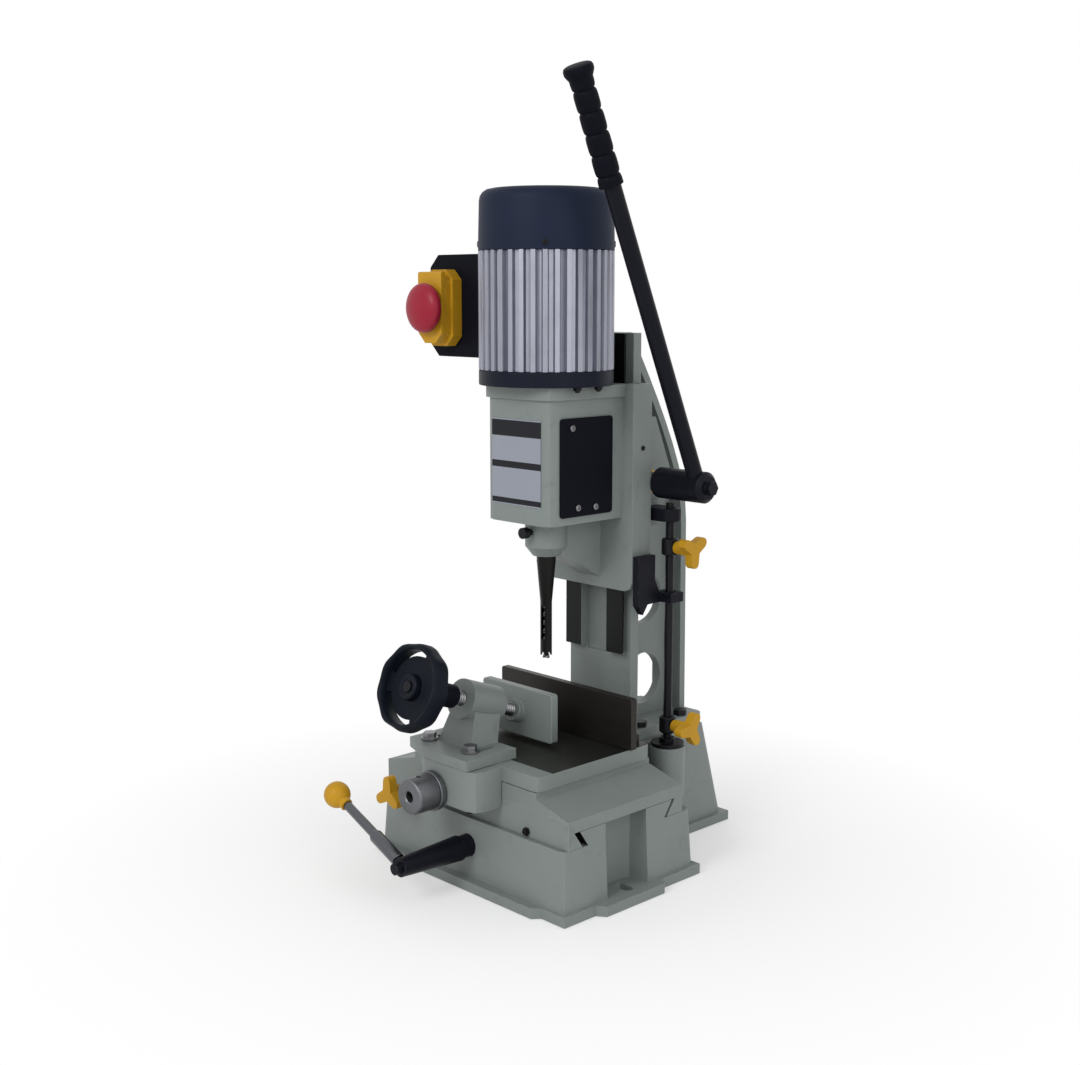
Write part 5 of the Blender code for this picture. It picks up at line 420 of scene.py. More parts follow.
# What makes each finish, and its numbers. Metals: axis of the lines, roughness, metallic, contrast.
# Plastics: roughness, depth of the grain, gloss, wear, coat. Sprayed paint: roughness.
FINISHES = {
    "cast_paint": (painted_casting,),
    "bright_steel": (machined, 0, 0.22),
    "way_iron": (machined, 2, 0.30, 0.85),
    "table_iron": (machined, 0, 0.26, 0.85),
    "dark_steel": (machined, 0, 0.34, 0.85),
    "chisel_steel": (machined, 2, 0.30, 0.9),
    "black_oxide": (machined, 0, 0.34, 0.7, 0.15),
    "hub_aluminium": (machined, 0, 0.34, 1.0, 0.10),
    "chrome": (machined, 2, 0.12, 1.0, 0.04),
    "brass": (machined, 0, 0.28),
    "black_paint": (painted_metal, 0.32),
    "flange_paint": (painted_metal, 0.36),
    "black_plastic": (moulded, 0.46, 0.00002, 0.05, 0.01),
    "wheel_plastic": (moulded, 0.38, 0.00003, 0.09, 0.015),
    "navy_plastic": (moulded, 0.44, 0.00002, 0.10, 0.02),
    "yellow_plastic": (moulded, 0.34, 0.00003, 0.18),
    "red_plastic": (moulded, 0.32, 0.00003, 0.2, 0.10, 0.05),
    "green_plastic": (moulded, 0.32),
    "bare_aluminium": (extruded_aluminium,),
    "bare_plate": (banded_plate,),
}


def finish(name):
    """The material of a finish, made once."""
    if name not in MADE:
        make, *numbers = FINISHES[name]
        make(name, *numbers)
    return MADE[name]


def joint_line(name):
    """A point on a joint's axis and the axis."""
    joint = next(j for j in frame["joints"] if j["name"] == name)
    return Vector(joint["pos_m"]), Vector(joint["axis"]).normalized()


def long_line(node):
    """The middle of a long round node and the direction that it runs in."""
    points = np.array([v.co for v in frame["nodes"][node].data.vertices], float)
    centre = points.mean(axis=0)
    direction = np.linalg.svd(points - centre, full_matrices=False)[2][0]
    direction *= np.sign(direction[np.argmax(np.abs(direction))])
    return Vector(centre), Vector(direction)


def opening_middle(name):
    """The middle of one of the record's openings."""
    opening = next(o for o in frame["record"]["physics"]["openings"] if o["name"] == name)
    low, high = opening["box_m"]
    return (Vector(low) + Vector(high)) / 2


def round_out(mesh, line, reach=None, least=0.0):
    """Make the flats of round faces about a line finer, with the new points on the circle."""
    point, axis = line
    layer = mesh.verts.layers.float.new("circle")

    def apart(place):
        height = (place - point).dot(axis)
        return place - point - axis * height, height

    for vert in mesh.verts:
        vert[layer] = apart(vert.co)[0].length
    before = set(mesh.verts)
    chosen = []
    for edge in mesh.edges:
        (first, first_height), (second, second_height) = (apart(v.co) for v in edge.verts)
        if abs(first.length - second.length) > CLOSE or abs(first_height - second_height) > CLOSE:
            continue
        if first.length < max(CLOSE, least) or (reach and first.length > reach):
            continue
        if first.angle(second) < WIDEST_FLAT:
            chosen.append(edge)
    if chosen:
        bmesh.ops.subdivide_edges(mesh, edges=chosen, cuts=sizes().flat_cuts, use_grid_fill=True)
    for vert in mesh.verts:
        if vert not in before:
            out, height = apart(vert.co)
            vert.co = point + axis * height + out.normalized() * vert[layer]
    mesh.verts.layers.float.remove(layer)


def mesh_object(name, mesh, material):
    """An object made of a mesh, with one material."""
    data = bpy.data.meshes.new(name)
    mesh.to_mesh(data)
    mesh.free()
    for attribute in ("custom_normal", "sharp_face"):
        if attribute in data.attributes:
            data.attributes.remove(data.attributes[attribute])
    data.materials.append(material)
    item = bpy.data.objects.new(name, data)
    bpy.context.scene.collection.objects.link(item)
    return item


def object_from(name, mesh, body, item):
    """A shown piece made of a mesh, with one finish, riding on a body."""
    piece = mesh_object(name, mesh, finish(item))
    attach(piece, body)
    return piece


def replacement(node, mesh, item):
    """A shown piece that takes the place of a node, on the node's body."""
    piece = object_from(f"{node}_finished", mesh, frame["nodes"][node]["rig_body"], item)
    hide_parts(node)
    return piece


def smooth(mesh):
    """Shade all faces smooth and keep the sharp edges sharp."""
    for face in mesh.faces:
        face.smooth = True
    for edge in mesh.edges:
        edge.smooth = len(edge.link_faces) == 2 and edge.calc_face_angle(0) < SHARP


def bevelled(piece, width):
    """Round a piece's sharp edges."""
    if width > 0:
        modifier = piece.modifiers.new("edges", "BEVEL")
        modifier.width = width
        modifier.segments = 2
        modifier.limit_method = "ANGLE"
        modifier.angle_limit = BEVEL_ANGLE
        modifier.use_clamp_overlap = True
        modifier.harden_normals = True
    return piece


def node_mesh(node):
    """A node's mesh with its flat faces whole again."""
    mesh = bmesh.new()
    mesh.from_mesh(frame["nodes"][node].data)
    bmesh.ops.remove_doubles(mesh, verts=mesh.verts, dist=CLOSE / 2)
    bmesh.ops.dissolve_limit(mesh, angle_limit=FLAT, verts=mesh.verts, edges=mesh.edges)
    return mesh


def dressed(node, item, lines=(), width=None, reach=None, least=0.0):
    """A copy of a node with its finish, finer rounds, and the turned edge if no width is given."""
    mesh = node_mesh(node)
    for line in lines:
        round_out(mesh, line, reach, least)
    smooth(mesh)
    return bevelled(replacement(node, mesh, item), sizes().turned_edge if width is None else width)


def refinished(piece, item, test):
    """Give another finish to the faces that pass a test of middle and normal."""
    piece.data.materials.append(finish(item))
    slot = len(piece.data.materials) - 1
    for face in piece.data.polygons:
        if test(face.center, face.normal):
            face.material_index = slot


def arc(radius, height, wide, tall, first, last, steps):
    """Profile points on a round about (radius, height), from a first to a last angle."""
    angles = [first + (last - first) * step / steps for step in range(steps + 1)]
    return [(radius + wide * cos(angle), height + tall * sin(angle)) for angle in angles]


def ring_at(mesh, height, radii):
    """A closed ring of points at a height, with one radius for each step round it."""
    ring = []
    for step, radius in enumerate(radii):
        angle = tau * step / len(radii)
        ring.append(mesh.verts.new((radius * cos(angle), radius * sin(angle), height)))
    return ring


def skinned(mesh, rings, segments):
    """Lay faces between each ring and the next, where a ring may be one point."""
    for low, high in zip(rings, rings[1:]):
        for step in range(segments):
            after = (step + 1) % segments
            corners = [low[step % len(low)], low[after % len(low)],
                       high[after % len(high)], high[step % len(high)]]
            corners = list(dict.fromkeys(corners))
            if len(corners) > 2:
                mesh.faces.new(corners)


def stood(mesh, point, axis):
    """Stand a mesh that was made about +Z on a line at a point, and shade it."""
    bmesh.ops.recalc_face_normals(mesh, faces=mesh.faces)
    turn = Vector(axis).to_track_quat("Z", "Y").to_matrix().to_4x4()
    mesh.transform(Matrix.Translation(point) @ turn)
    smooth(mesh)
    return mesh


def turned(profile, point, axis, segments=48, shape=None):
    """A lathe body of (radius, height) points along a line, with its radius shaped if asked."""
    mesh = bmesh.new()
    angles = [tau * step / segments for step in range(segments)]
    rings = []
    for radius, height in profile:
        if radius < CLOSE:
            rings.append([mesh.verts.new((0, 0, height))])
        else:
            radii = [radius * (shape(angle, height) if shape else 1) for angle in angles]
            rings.append(ring_at(mesh, height, radii))
    skinned(mesh, rings, segments)
    return stood(mesh, point, axis)


def screw_head(name, point, axis, body, radius, height, item="black_oxide"):
    """A round cap screw with a hexagon socket, standing on a face."""
    mesh = turned([
        (0, -height / 4), (radius, -height / 4), (radius, height * 0.75), (radius * 0.85, height),
        (radius * 0.55, height), (radius * 0.50, height * 0.35), (0, height * 0.35)], point, axis, 24)
    return object_from(name, mesh, body, item)


def lock_nut(name, point, axis, body):
    """A set screw's end in its hexagonal lock nut, standing on a face."""
    nut = [(0, 0), (1, 0), (1, 0.63), (0.88, 0.75), (0, 0.75)]
    end = [(0, 0), (0.55, 0), (0.55, 1.05), (0.42, 1.15), (0.24, 1.15), (0.24, 0.8), (0, 0.8)]
    for piece_name, shares, segments in ((name, nut, 6), (f"{name}_screw", end, 24)):
        profile = [(LOCK_NUT * radius, LOCK_NUT * height) for radius, height in shares]
        piece = object_from(piece_name, turned(profile, point, axis, segments), body, "black_oxide")
        bevelled(piece, LOCK_NUT * 0.08 if shares is nut else 0)


def thread(crest, low, high, point, axis):
    """A round bar with the vise's helical thread cut into it."""
    mesh = bmesh.new()
    levels = int((high - low) / VISE_PITCH * 8)
    rings = []
    for level in range(levels + 1):
        height = low + (high - low) * level / levels
        phases = [(height / VISE_PITCH - step / THREAD_STEPS) % 1 for step in range(THREAD_STEPS)]
        radii = [crest - THREAD_DEPTH * (1 - abs(2 * phase - 1)) for phase in phases]
        rings.append(ring_at(mesh, height, radii))
    skinned(mesh, rings, THREAD_STEPS)
    mesh.faces.new(reversed(rings[0]))
    mesh.faces.new(rings[-1])
    return stood(mesh, point, axis)


def along_line(node, point, axis):
    """Height and radius of each of a node's points about a line."""
    pairs = []
    for vert in frame["nodes"][node].data.vertices:
        height = (vert.co - point).dot(axis)
        pairs.append((height, (vert.co - point - axis * height).length))
    return pairs


def extent(pairs):
    """Lowest and highest height, and smallest and largest radius, of points about a line."""
    radii = [radius for _, radius in pairs if radius > CLOSE]
    return min(pairs)[0], max(pairs)[0], min(radii), max(radii)


def middle_of(node):
    """The middle of a node's box."""
    low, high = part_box(node)
    return (low + high) / 2


class MORTISER_OT_base(Operator):
    """Finish the base casting and its machined way"""

    bl_idname = "mortiser.base"
    bl_label = "Base"

    def execute(self, context):
        lines = [long_line("depth_rod"), joint_line("traverse_lever_turn")]
        piece = dressed("base_casting", "cast_paint", lines, sizes().casting_edge, reach=0.019)
        way_low, way_top = (corner.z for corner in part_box("saddle_gib"))
        front, rear = (corner.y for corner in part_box("saddle_casting"))

        def on_way(middle, normal):
            inside = way_low - CLOSE < middle.z < way_top + CLOSE and front < middle.y < rear
            return inside and abs(normal.x) < 0.5 and normal.z > -0.9

        refinished(piece, "way_iron", on_way)
        return {"FINISHED"}


class MORTISER_OT_column(Operator):
    """Finish the column, its vertical way and its four bolts"""

    bl_idname = "mortiser.column"
    bl_label = "Column"

    def execute(self, context):
        holes = [(opening_middle(name), ACROSS) for name in ("web_hole_low", "web_hole_high")]
        lines = [joint_line("feed_lever_turn"), *holes]
        piece = dressed("column_casting", "cast_paint", lines, sizes().casting_edge, reach=0.037)
        above_stop = 0.064
        way_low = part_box("lower_stop")[1].z + above_stop
        way_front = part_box("column_casting")[0].y
        way_depth = 0.0105
        way_inner = 0.03

        def on_way(middle, normal):
            front = middle.y < way_front + CLOSE and normal.y < -0.9
            flank = middle.y < way_front + way_depth and abs(middle.x) > way_inner
            return middle.z > way_low and (front or (flank and abs(normal.x) > 0.5))

        refinished(piece, "way_iron", on_way)
        for number in range(1, 5):
            node = f"column_bolt_{number}"
            dressed(node, "black_oxide", [(middle_of(node), UP)])
        return {"FINISHED"}


class MORTISER_OT_depth_stop(Operator):
    """Finish the depth stop's rod, arms, collars and knobs"""

    bl_idname = "mortiser.depth_stop"
    bl_label = "Depth stop"

    def execute(self, context):
        rod = long_line("depth_rod")
        edge = sizes().turned_edge
        dressed("depth_rod", "black_oxide", [rod])
        dressed("depth_rod_nut", "black_oxide", [rod])
        dressed("depth_rod_arm", "black_paint", [rod], edge * 2)
        dressed("head_stop_arm", "black_paint", width=edge * 2)
        for side in ("upper", "lower"):
            dressed(f"{side}_stop", "black_oxide", [rod])
            knob = joint_line(f"{side}_stop_knob_turn")
            piece = dressed(f"{side}_stop_knob", "yellow_plastic", [knob], sizes().moulded_edge)
            if side == "upper":
                turn = Matrix.Rotation(radians(-30), 4, knob[1])
                piece.data.transform(Matrix.Translation(knob[0]) @ turn @ Matrix.Translation(-knob[0]))
        return {"FINISHED"}


class MORTISER_OT_head(Operator):
    """Finish the head with its cover, plate, rack, gib and screws"""

    bl_idname = "mortiser.head"
    bl_label = "Head"

    def execute(self, context):
        chisel = joint_line("spindle_turn")
        edge = sizes().turned_edge
        dressed("head_casting", "cast_paint", [chisel], sizes().casting_edge, reach=0.031)
        dressed("head_rack", "bright_steel", width=0)
        dressed("head_gib", "bright_steel", width=edge / 2)
        dressed("chuck_cover", "black_plastic")
        low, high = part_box("chuck_cover")
        reach = high - low
        for number, (share_y, share_z) in enumerate(COVER_SCREWS, 1):
            place = (high.x, low.y + share_y * reach.y, low.z + share_z * reach.z)
            screw_head(f"cover_screw_{number}", place, ACROSS, "head",
                       sizes().screw_head, COVER_SCREW_HEIGHT, "bright_steel")
        self.plate()
        place = (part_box("head_casting")[1].x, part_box("head_gib")[1].y - 0.003, GIB_SCREW_Z)
        screw_head("gib_screw", place, ACROSS, "head", *GIB_SCREW)
        place = (SLIDE_SCREW_X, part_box("head_stop_arm")[0].y - 0.0015, SLIDE_SCREW_Z)
        screw_head("slide_screw", place, -DEPTH, "head", *SLIDE_SCREW)
        return {"FINISHED"}

    def plate(self):
        """Blank plate on the front of the head."""
        front = min(v.co.y for v in frame["nodes"]["head_casting"].data.vertices
                    if v.co.z < PLATE_HIGH_Z)
        middle = Vector((0, front - PLATE_THICKNESS / 2, (PLATE_LOW_Z + PLATE_HIGH_Z) / 2))
        size = Matrix.Diagonal((2 * PLATE_HALF, PLATE_THICKNESS, PLATE_HIGH_Z - PLATE_LOW_Z, 1))
        mesh = bmesh.new()
        bmesh.ops.create_cube(mesh, size=1)
        mesh.transform(Matrix.Translation(middle) @ size)
        smooth(mesh)
        bevelled(object_from("front_plate", mesh, "head", "bare_plate"), 0.0001)


class MORTISER_OT_spindle(Operator):
    """Finish the hollow chisel, the auger bit and the chuck"""

    bl_idname = "mortiser.spindle"
    bl_label = "Chisel, bit and chuck"

    def execute(self, context):
        chisel = joint_line("spindle_turn")
        edge = sizes().turned_edge
        dressed("hollow_chisel", "chisel_steel", [chisel], edge / 4)
        dressed("auger_bit", "bright_steel", width=0)
        dressed("drill_chuck", "bright_steel", [chisel])
        dressed("motor_shaft", "bright_steel", [chisel])
        screw = middle_of("chisel_lock_screw")
        dressed("chisel_lock_screw", "black_oxide", [(screw, ACROSS), (screw, DEPTH)])
        return {"FINISHED"}


class MORTISER_OT_motor(Operator):
    """Finish the motor's flange, finned frame, fan and fan cover"""

    bl_idname = "mortiser.motor"
    bl_label = "Motor"

    def execute(self, context):
        chisel = joint_line("spindle_turn")
        edge = sizes().turned_edge
        dressed("motor_flange", "flange_paint", [chisel], edge * 2)
        dressed("motor_bearing", "bright_steel", [chisel])
        piece = dressed("motor_frame", "bare_aluminium", [chisel], least=0.05, reach=0.053)
        self.shallow_fins(piece, chisel[0])
        dressed("cooling_fan", "black_plastic", [chisel], least=0.055)
        dressed("fan_cover", "navy_plastic", [chisel], least=0.05)
        low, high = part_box("fan_cover")
        radius = (high.x - low.x) / 2 - 0.0004
        for number in range(4):
            angle = tau * (number + 0.5) / 4
            out = Vector((cos(angle), sin(angle), 0))
            point = out * radius + UP * (low.z + 0.006)
            screw_head(f"fan_cover_screw_{number + 1}", point, out, "head", *FAN_SCREW)
        low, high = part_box("motor_flange")
        radius = (high.x - low.x) / 2 - 0.007
        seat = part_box("head_casting")[1].z
        for number, degrees in enumerate(FLANGE_BOLTS_DEG, 1):
            angle = radians(degrees)
            point = (radius * cos(angle), radius * sin(angle), seat)
            lock_nut(f"flange_bolt_{number}", point, -UP, "head")
        return {"FINISHED"}

    def shallow_fins(self, piece, middle):
        """Raise the valleys between the fins by a share of their depth."""
        outside = [Vector((v.co.x - middle.x, v.co.y - middle.y, 0)) for v in piece.data.vertices]
        tip = max(out.length for out in outside)
        for vert, out in zip(piece.data.vertices, outside):
            if VALLEY_LEAST < out.length < tip - CLOSE:
                vert.co += out.normalized() * (tip - out.length) * VALLEY_FILL


class MORTISER_OT_switch(Operator):
    """Finish the switch box, its yellow unit, the flap and the buttons"""

    bl_idname = "mortiser.switch"
    bl_label = "Switch"

    def execute(self, context):
        edge = sizes().moulded_edge
        button = (middle_of("stop_button"), DEPTH)
        dressed("switch_box", "black_plastic", width=edge)
        dressed("switch_unit", "yellow_plastic", [button], edge, reach=0.012)
        dressed("stop_flap", "yellow_plastic", [button], edge / 2, reach=0.012)
        dressed("start_button", "green_plastic", width=edge)
        self.mushroom()
        return {"FINISHED"}

    def mushroom(self):
        """Red mushroom button with a domed face and a rolled rim."""
        low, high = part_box("stop_button")
        middle = middle_of("stop_button")
        radius = (high.x - low.x) / 2
        back = high.y - middle.y
        pairs = along_line("stop_button", middle, DEPTH)
        stem = min(out for height, out in pairs if height > back - CLOSE and out > CLOSE)
        neck = max(height for height, out in pairs if out > radius - CLOSE)
        rim = 0.0022
        edge = rim + 0.002
        dome = neck + back - edge
        step = pi / 28
        profile = [(0, neck - back), (stem, neck - back), (stem, 0), (radius - rim, 0)]
        profile += arc(radius - rim, rim, rim, rim, radians(-75), radians(-15), 4)
        profile.append((radius, edge))
        profile += arc(0, edge, radius, dome, step, 13 * step, 12)
        profile.append((0, edge + dome))
        mesh = turned(profile, middle + DEPTH * neck, -DEPTH, 56)
        replacement("stop_button", mesh, "red_plastic")


class MORTISER_OT_feed_lever(Operator):
    """Finish the feed lever with its hub, gear, shaft and ribbed grip"""

    bl_idname = "mortiser.feed_lever"
    bl_label = "Feed lever"

    def execute(self, context):
        feed = joint_line("feed_lever_turn")
        lever = long_line("feed_lever")
        edge = sizes().turned_edge
        dressed("feed_bush", "brass", [feed], edge / 2)
        dressed("feed_gear", "bright_steel", [feed], edge / 2, reach=0.012)
        dressed("feed_shaft", "bright_steel", [feed])
        dressed("feed_hub", "black_paint", [feed, lever])
        dressed("feed_lever", "black_paint", [lever])
        self.grip(lever)
        return {"FINISHED"}

    def grip(self, lever):
        """Black grip with rounded finger ribs and a flared end."""
        point, axis = lever
        axis = axis if axis.z > 0 else -axis
        low, high, bore, widest = extent(along_line("feed_grip", point, axis))
        profile = [(bore, low)]
        for step in range(GRIP_STEPS + 1):
            share = step / GRIP_STEPS
            wave = abs(cos(pi * GRIP_RIBS * share))
            bulge = (GRIP_TOP - GRIP_WAIST) * sqrt(max(0.0, 1 - (1 - wave) ** 2))
            profile.append(((GRIP_WAIST + bulge) * (1 - GRIP_TAPER * share),
                            low + (high - low - GRIP_END) * share))
        for width, share in GRIP_FLARE:
            profile.append((widest * 0.93 * width, high - GRIP_END * share))
        replacement("feed_grip", turned(profile, point, axis, 40), "black_plastic")


class MORTISER_OT_saddle(Operator):
    """Finish the saddle with its gib, rack, nut, lock knob and screws"""

    bl_idname = "mortiser.saddle"
    bl_label = "Saddle"

    def execute(self, context):
        piece = dressed("saddle_casting", "cast_paint", width=sizes().casting_edge)
        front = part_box("saddle_casting")[0].y
        way_near, way_far = front + 0.010, front + 0.030
        way_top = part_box("saddle_gib")[1].z + 0.002
        for vert in piece.data.vertices:
            if way_near < vert.co.y < way_far and vert.co.z < way_top:
                vert.co.y -= sizes().way_gap
        dressed("saddle_gib", "way_iron")
        dressed("saddle_rack", "bright_steel", width=0)
        dressed("cross_nut", "brass")
        knob = joint_line("saddle_lock_turn")
        dressed("saddle_lock_knob", "yellow_plastic", [knob], sizes().moulded_edge)
        for number, x in enumerate(SADDLE_SCREWS_X, 1):
            lock_nut(f"saddle_screw_{number}", (x, front, knob[0].z - 0.0045), -DEPTH, "saddle")
        return {"FINISHED"}


class MORTISER_OT_traverse_lever(Operator):
    """Finish the saddle's lever with its shaft, gear, hub and ball"""

    bl_idname = "mortiser.traverse_lever"
    bl_label = "Traverse lever"

    def execute(self, context):
        shaft = joint_line("traverse_lever_turn")
        lever = long_line("traverse_lever")
        edge = sizes().turned_edge
        piece = dressed("traverse_shaft", "bright_steel", [shaft])
        reach = extent(along_line("traverse_shaft", *shaft))[3] - 0.001

        def on_journal(middle, normal):
            away = middle - shaft[0]
            return hypot(away.x, away.z) > reach and abs(normal.y) < 0.5

        refinished(piece, "black_paint", on_journal)
        dressed("traverse_gear", "bright_steel", [shaft], edge / 2, reach=0.012)
        dressed("traverse_hub", "black_paint", [shaft, lever], edge * 2)
        dressed("traverse_lever", "chrome", [lever])
        self.ball(lever)
        self.sleeve(shaft, lever)
        return {"FINISHED"}

    def sleeve(self, shaft, lever):
        """Chromed sleeve where the lever leaves its hub."""
        point, axis = lever
        hub = middle_of("traverse_ball") - shaft[0]
        out = axis if axis.dot(hub) > 0 else -axis
        centre = Vector((shaft[0].x, point.y, shaft[0].z))
        bore = extent(along_line("traverse_lever", point, axis))[3] - 0.0002
        wide = bore + 0.0018
        near, taper, far = SLEEVE_HEIGHTS
        profile = [(bore, near), (wide - 0.0005, near), (wide, near + 0.0005), (wide, taper), (bore, far)]
        object_from("lever_sleeve", turned(profile, centre, out, 40), "traverse_lever", "chrome")

    def ball(self, lever):
        """Round yellow ball with a short neck."""
        point, axis = lever
        start = joint_line("traverse_lever_turn")[0]
        axis = axis if (point - start).dot(axis) > 0 else -axis
        seat, end, bore, radius = extent(along_line("traverse_ball", point, axis))
        radius -= BALL_TRIM
        turn = acos(-sqrt(1 - (BALL_NECK / radius) ** 2))
        quarter = pi / 2
        profile = [(bore, seat), (BALL_NECK, seat)]
        profile += arc(0, end - radius, radius, radius, quarter - turn,
                       quarter - turn / BALL_STEPS, BALL_STEPS - 1)
        profile.append((0, end))
        replacement("traverse_ball", turned(profile, point, axis, 40), "yellow_plastic")


class MORTISER_OT_table(Operator):
    """Finish the table, its ground top and the fence"""

    bl_idname = "mortiser.table"
    bl_label = "Table and fence"

    def execute(self, context):
        paint_y = sizes().table_paint_y
        mesh = node_mesh("table_casting")
        bmesh.ops.bisect_plane(
            mesh, geom=mesh.verts[:] + mesh.edges[:] + mesh.faces[:],
            plane_co=(0, paint_y, 0), plane_no=DEPTH)
        round_out(mesh, joint_line("cross_screw_turn"), reach=0.012)
        smooth(mesh)
        piece = bevelled(replacement("table_casting", mesh, "cast_paint"), sizes().casting_edge)
        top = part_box("table_casting")[1].z

        def ground(middle, normal):
            return normal.z > 0.9 and middle.z > top - CLOSE and middle.y > paint_y

        refinished(piece, "table_iron", ground)
        dressed("fence", "dark_steel")
        low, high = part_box("fence")
        seat_y = (high.y + middle_of("fence").y) / 2
        foot_z = top + 0.0083
        for number, x in enumerate((low.x * 0.6, high.x * 0.6), 1):
            screw_head(f"fence_screw_{number}", (x, seat_y, foot_z), UP, "table", *FENCE_SCREW)
        return {"FINISHED"}


class MORTISER_OT_cross_screw(Operator):
    """Finish the table's screw and its dial hub"""

    bl_idname = "mortiser.cross_screw"
    bl_label = "Cross screw"

    def execute(self, context):
        cross = joint_line("cross_screw_turn")
        dressed("cross_screw", "bright_steel", [cross])
        self.hub(cross)
        return {"FINISHED"}

    def hub(self, cross):
        """Turned hub with a graduated dial, a seat behind it painted black as painted shade in the gap,
        and a black set screw.
        """
        point, axis = cross
        pairs = along_line("cross_hub", point, -axis)
        rear, front, bore, dial = extent(pairs)
        body = max(radius for height, radius in pairs if height > front - 0.003)
        dial_end = rear + 0.0070
        chamfer = 0.0025
        seat = dial - 0.0030
        groove = body - 0.0008
        socket = 0.0052
        floor = front - 0.0160
        profile = [(bore, rear), (seat, rear), (seat, rear + 0.0010), (dial - 0.0006, rear + 0.0010),
                   (dial, rear + 0.0017), (dial, dial_end - 0.0007), (dial - 0.0006, dial_end),
                   (groove, dial_end), (groove, dial_end + 0.0012), (body, dial_end + 0.0018)]
        profile += arc(body - chamfer, front - chamfer, chamfer, chamfer, 0, pi / 2, 5)
        profile += [(socket + 0.0012, front), (socket, front - 0.0010), (socket, floor), (bore, floor)]

        def graduated(angle, height):
            mark = round(angle * DIAL_STEPS / tau) % 3 == 0
            on_dial = rear + 0.0012 < height < dial_end - 0.0002
            return 0.988 if mark and on_dial else 1

        mesh = turned(profile, point, -axis, DIAL_STEPS, graduated)
        piece = replacement("cross_hub", mesh, "hub_aluminium")
        # The black finish on the seat at the back of the hub is painted shade for the gap between the
        # dial and the table.
        dark = point.y - rear - 0.0012
        refinished(piece, "black_oxide", lambda middle, normal: middle.y > dark)
        top = point - axis * (rear + front) * 0.62 + UP * (body - 0.0003)
        screw_head("hub_set_screw", top, UP, "cross_screw", *HUB_SCREW)


class MORTISER_OT_vise(Operator):
    """Finish the vise's bracket, bolts, jaw, screw and handwheel"""

    bl_idname = "mortiser.vise"
    bl_label = "Vise"

    def execute(self, context):
        line = joint_line("vise_screw_turn")
        edge = sizes().turned_edge
        dressed("clamp_bracket", "cast_paint", [line], sizes().casting_edge * 0.8, reach=0.021)
        for number in (1, 2):
            node = f"clamp_bolt_{number}"
            dressed(node, "bright_steel", [(middle_of(node), UP)])
        dressed("vise_jaw", "cast_paint", [line], edge * 2, reach=0.012)
        self.screw(line)
        self.wheel(line)
        return {"FINISHED"}

    def screw(self, line):
        """Threaded screw with its collar and a black sleeve."""
        point, axis = line
        out = -axis
        pairs = along_line("vise_screw", point, out)
        tip, end, thin, collar = extent(pairs)
        threaded = [height for height, radius in pairs if thin + CLOSE < radius < collar - CLOSE]
        low, high = min(threaded), max(threaded)
        collar_end = max(height for height, radius in pairs if radius > collar - CLOSE)
        crest = max(radius for _, radius in pairs if radius < collar - CLOSE)
        bar = turned([(0, tip), (thin, tip), (thin, high), (collar, high), (collar, collar_end),
                      (thin, collar_end), (thin, end), (0, end)], point, out, 40)
        replacement("vise_screw", bar, "black_oxide")
        turns = thread(crest, low, high, point, out)
        object_from("vise_screw_thread", turns, "vise_screw", "bright_steel")
        inner = collar - 0.0002
        outer = collar + 0.002
        back = high + 0.002
        face = collar_end - 0.003
        sleeve = turned([(inner, back), (collar + 0.0015, back), (outer, back + 0.0006),
                         (outer, face - 0.0006), (collar + 0.0012, face), (inner, face)], point, out)
        object_from("vise_screw_sleeve", sleeve, "vise_screw", "black_plastic")

    def wheel(self, line):
        """Dished handwheel with a scalloped rim, three curved gaps and a hub."""
        point, axis = line
        start, _, _, widest = extent(along_line("vise_handwheel", point, -axis))
        rim = widest - 0.004
        mesh = bmesh.new()
        rears = []
        fronts = []
        for station in WHEEL_STATIONS:
            radius, rear, front = (value / 1000 for value in station)
            depth = WHEEL_SCALLOP if radius >= rim else 0
            radii = [radius - depth * (0.5 - 0.5 * cos(WHEEL_SCALLOPS * tau * step / WHEEL_STEPS))
                     for step in range(WHEEL_STEPS)]
            rears.append(ring_at(mesh, start + rear, radii))
            fronts.append(ring_at(mesh, start + front, radii))

        def present(band, step):
            middle = (step % WHEEL_STEPS + 0.5) / WHEEL_STEPS * WHEEL_GAPS % 1
            spoke = WHEEL_GAP_SHARE / 2 < middle < 1 - WHEEL_GAP_SHARE / 2
            return 0 <= band < len(WHEEL_STATIONS) - 1 and (band != WHEEL_GAP_BAND or spoke)

        for band, step in itertools.product(range(len(WHEEL_STATIONS) - 1), range(WHEEL_STEPS)):
            if not present(band, step):
                continue
            after = (step + 1) % WHEEL_STEPS
            corners = ((band, step), (band + 1, step), (band + 1, after), (band, after))
            neighbours = ((band, step - 1), (band + 1, step), (band, step + 1), (band - 1, step))
            front = [fronts[ring][spot] for ring, spot in corners]
            rear = [rears[ring][spot] for ring, spot in corners]
            mesh.faces.new(front)
            mesh.faces.new(rear[::-1])
            for number, neighbour in enumerate(neighbours):
                if not present(*neighbour):
                    following = (number + 1) % 4
                    mesh.faces.new((rear[number], rear[following], front[following], front[number]))
        mesh = stood(mesh, point, -axis)
        bevelled(replacement("vise_handwheel", mesh, "wheel_plastic"), 0.0007)


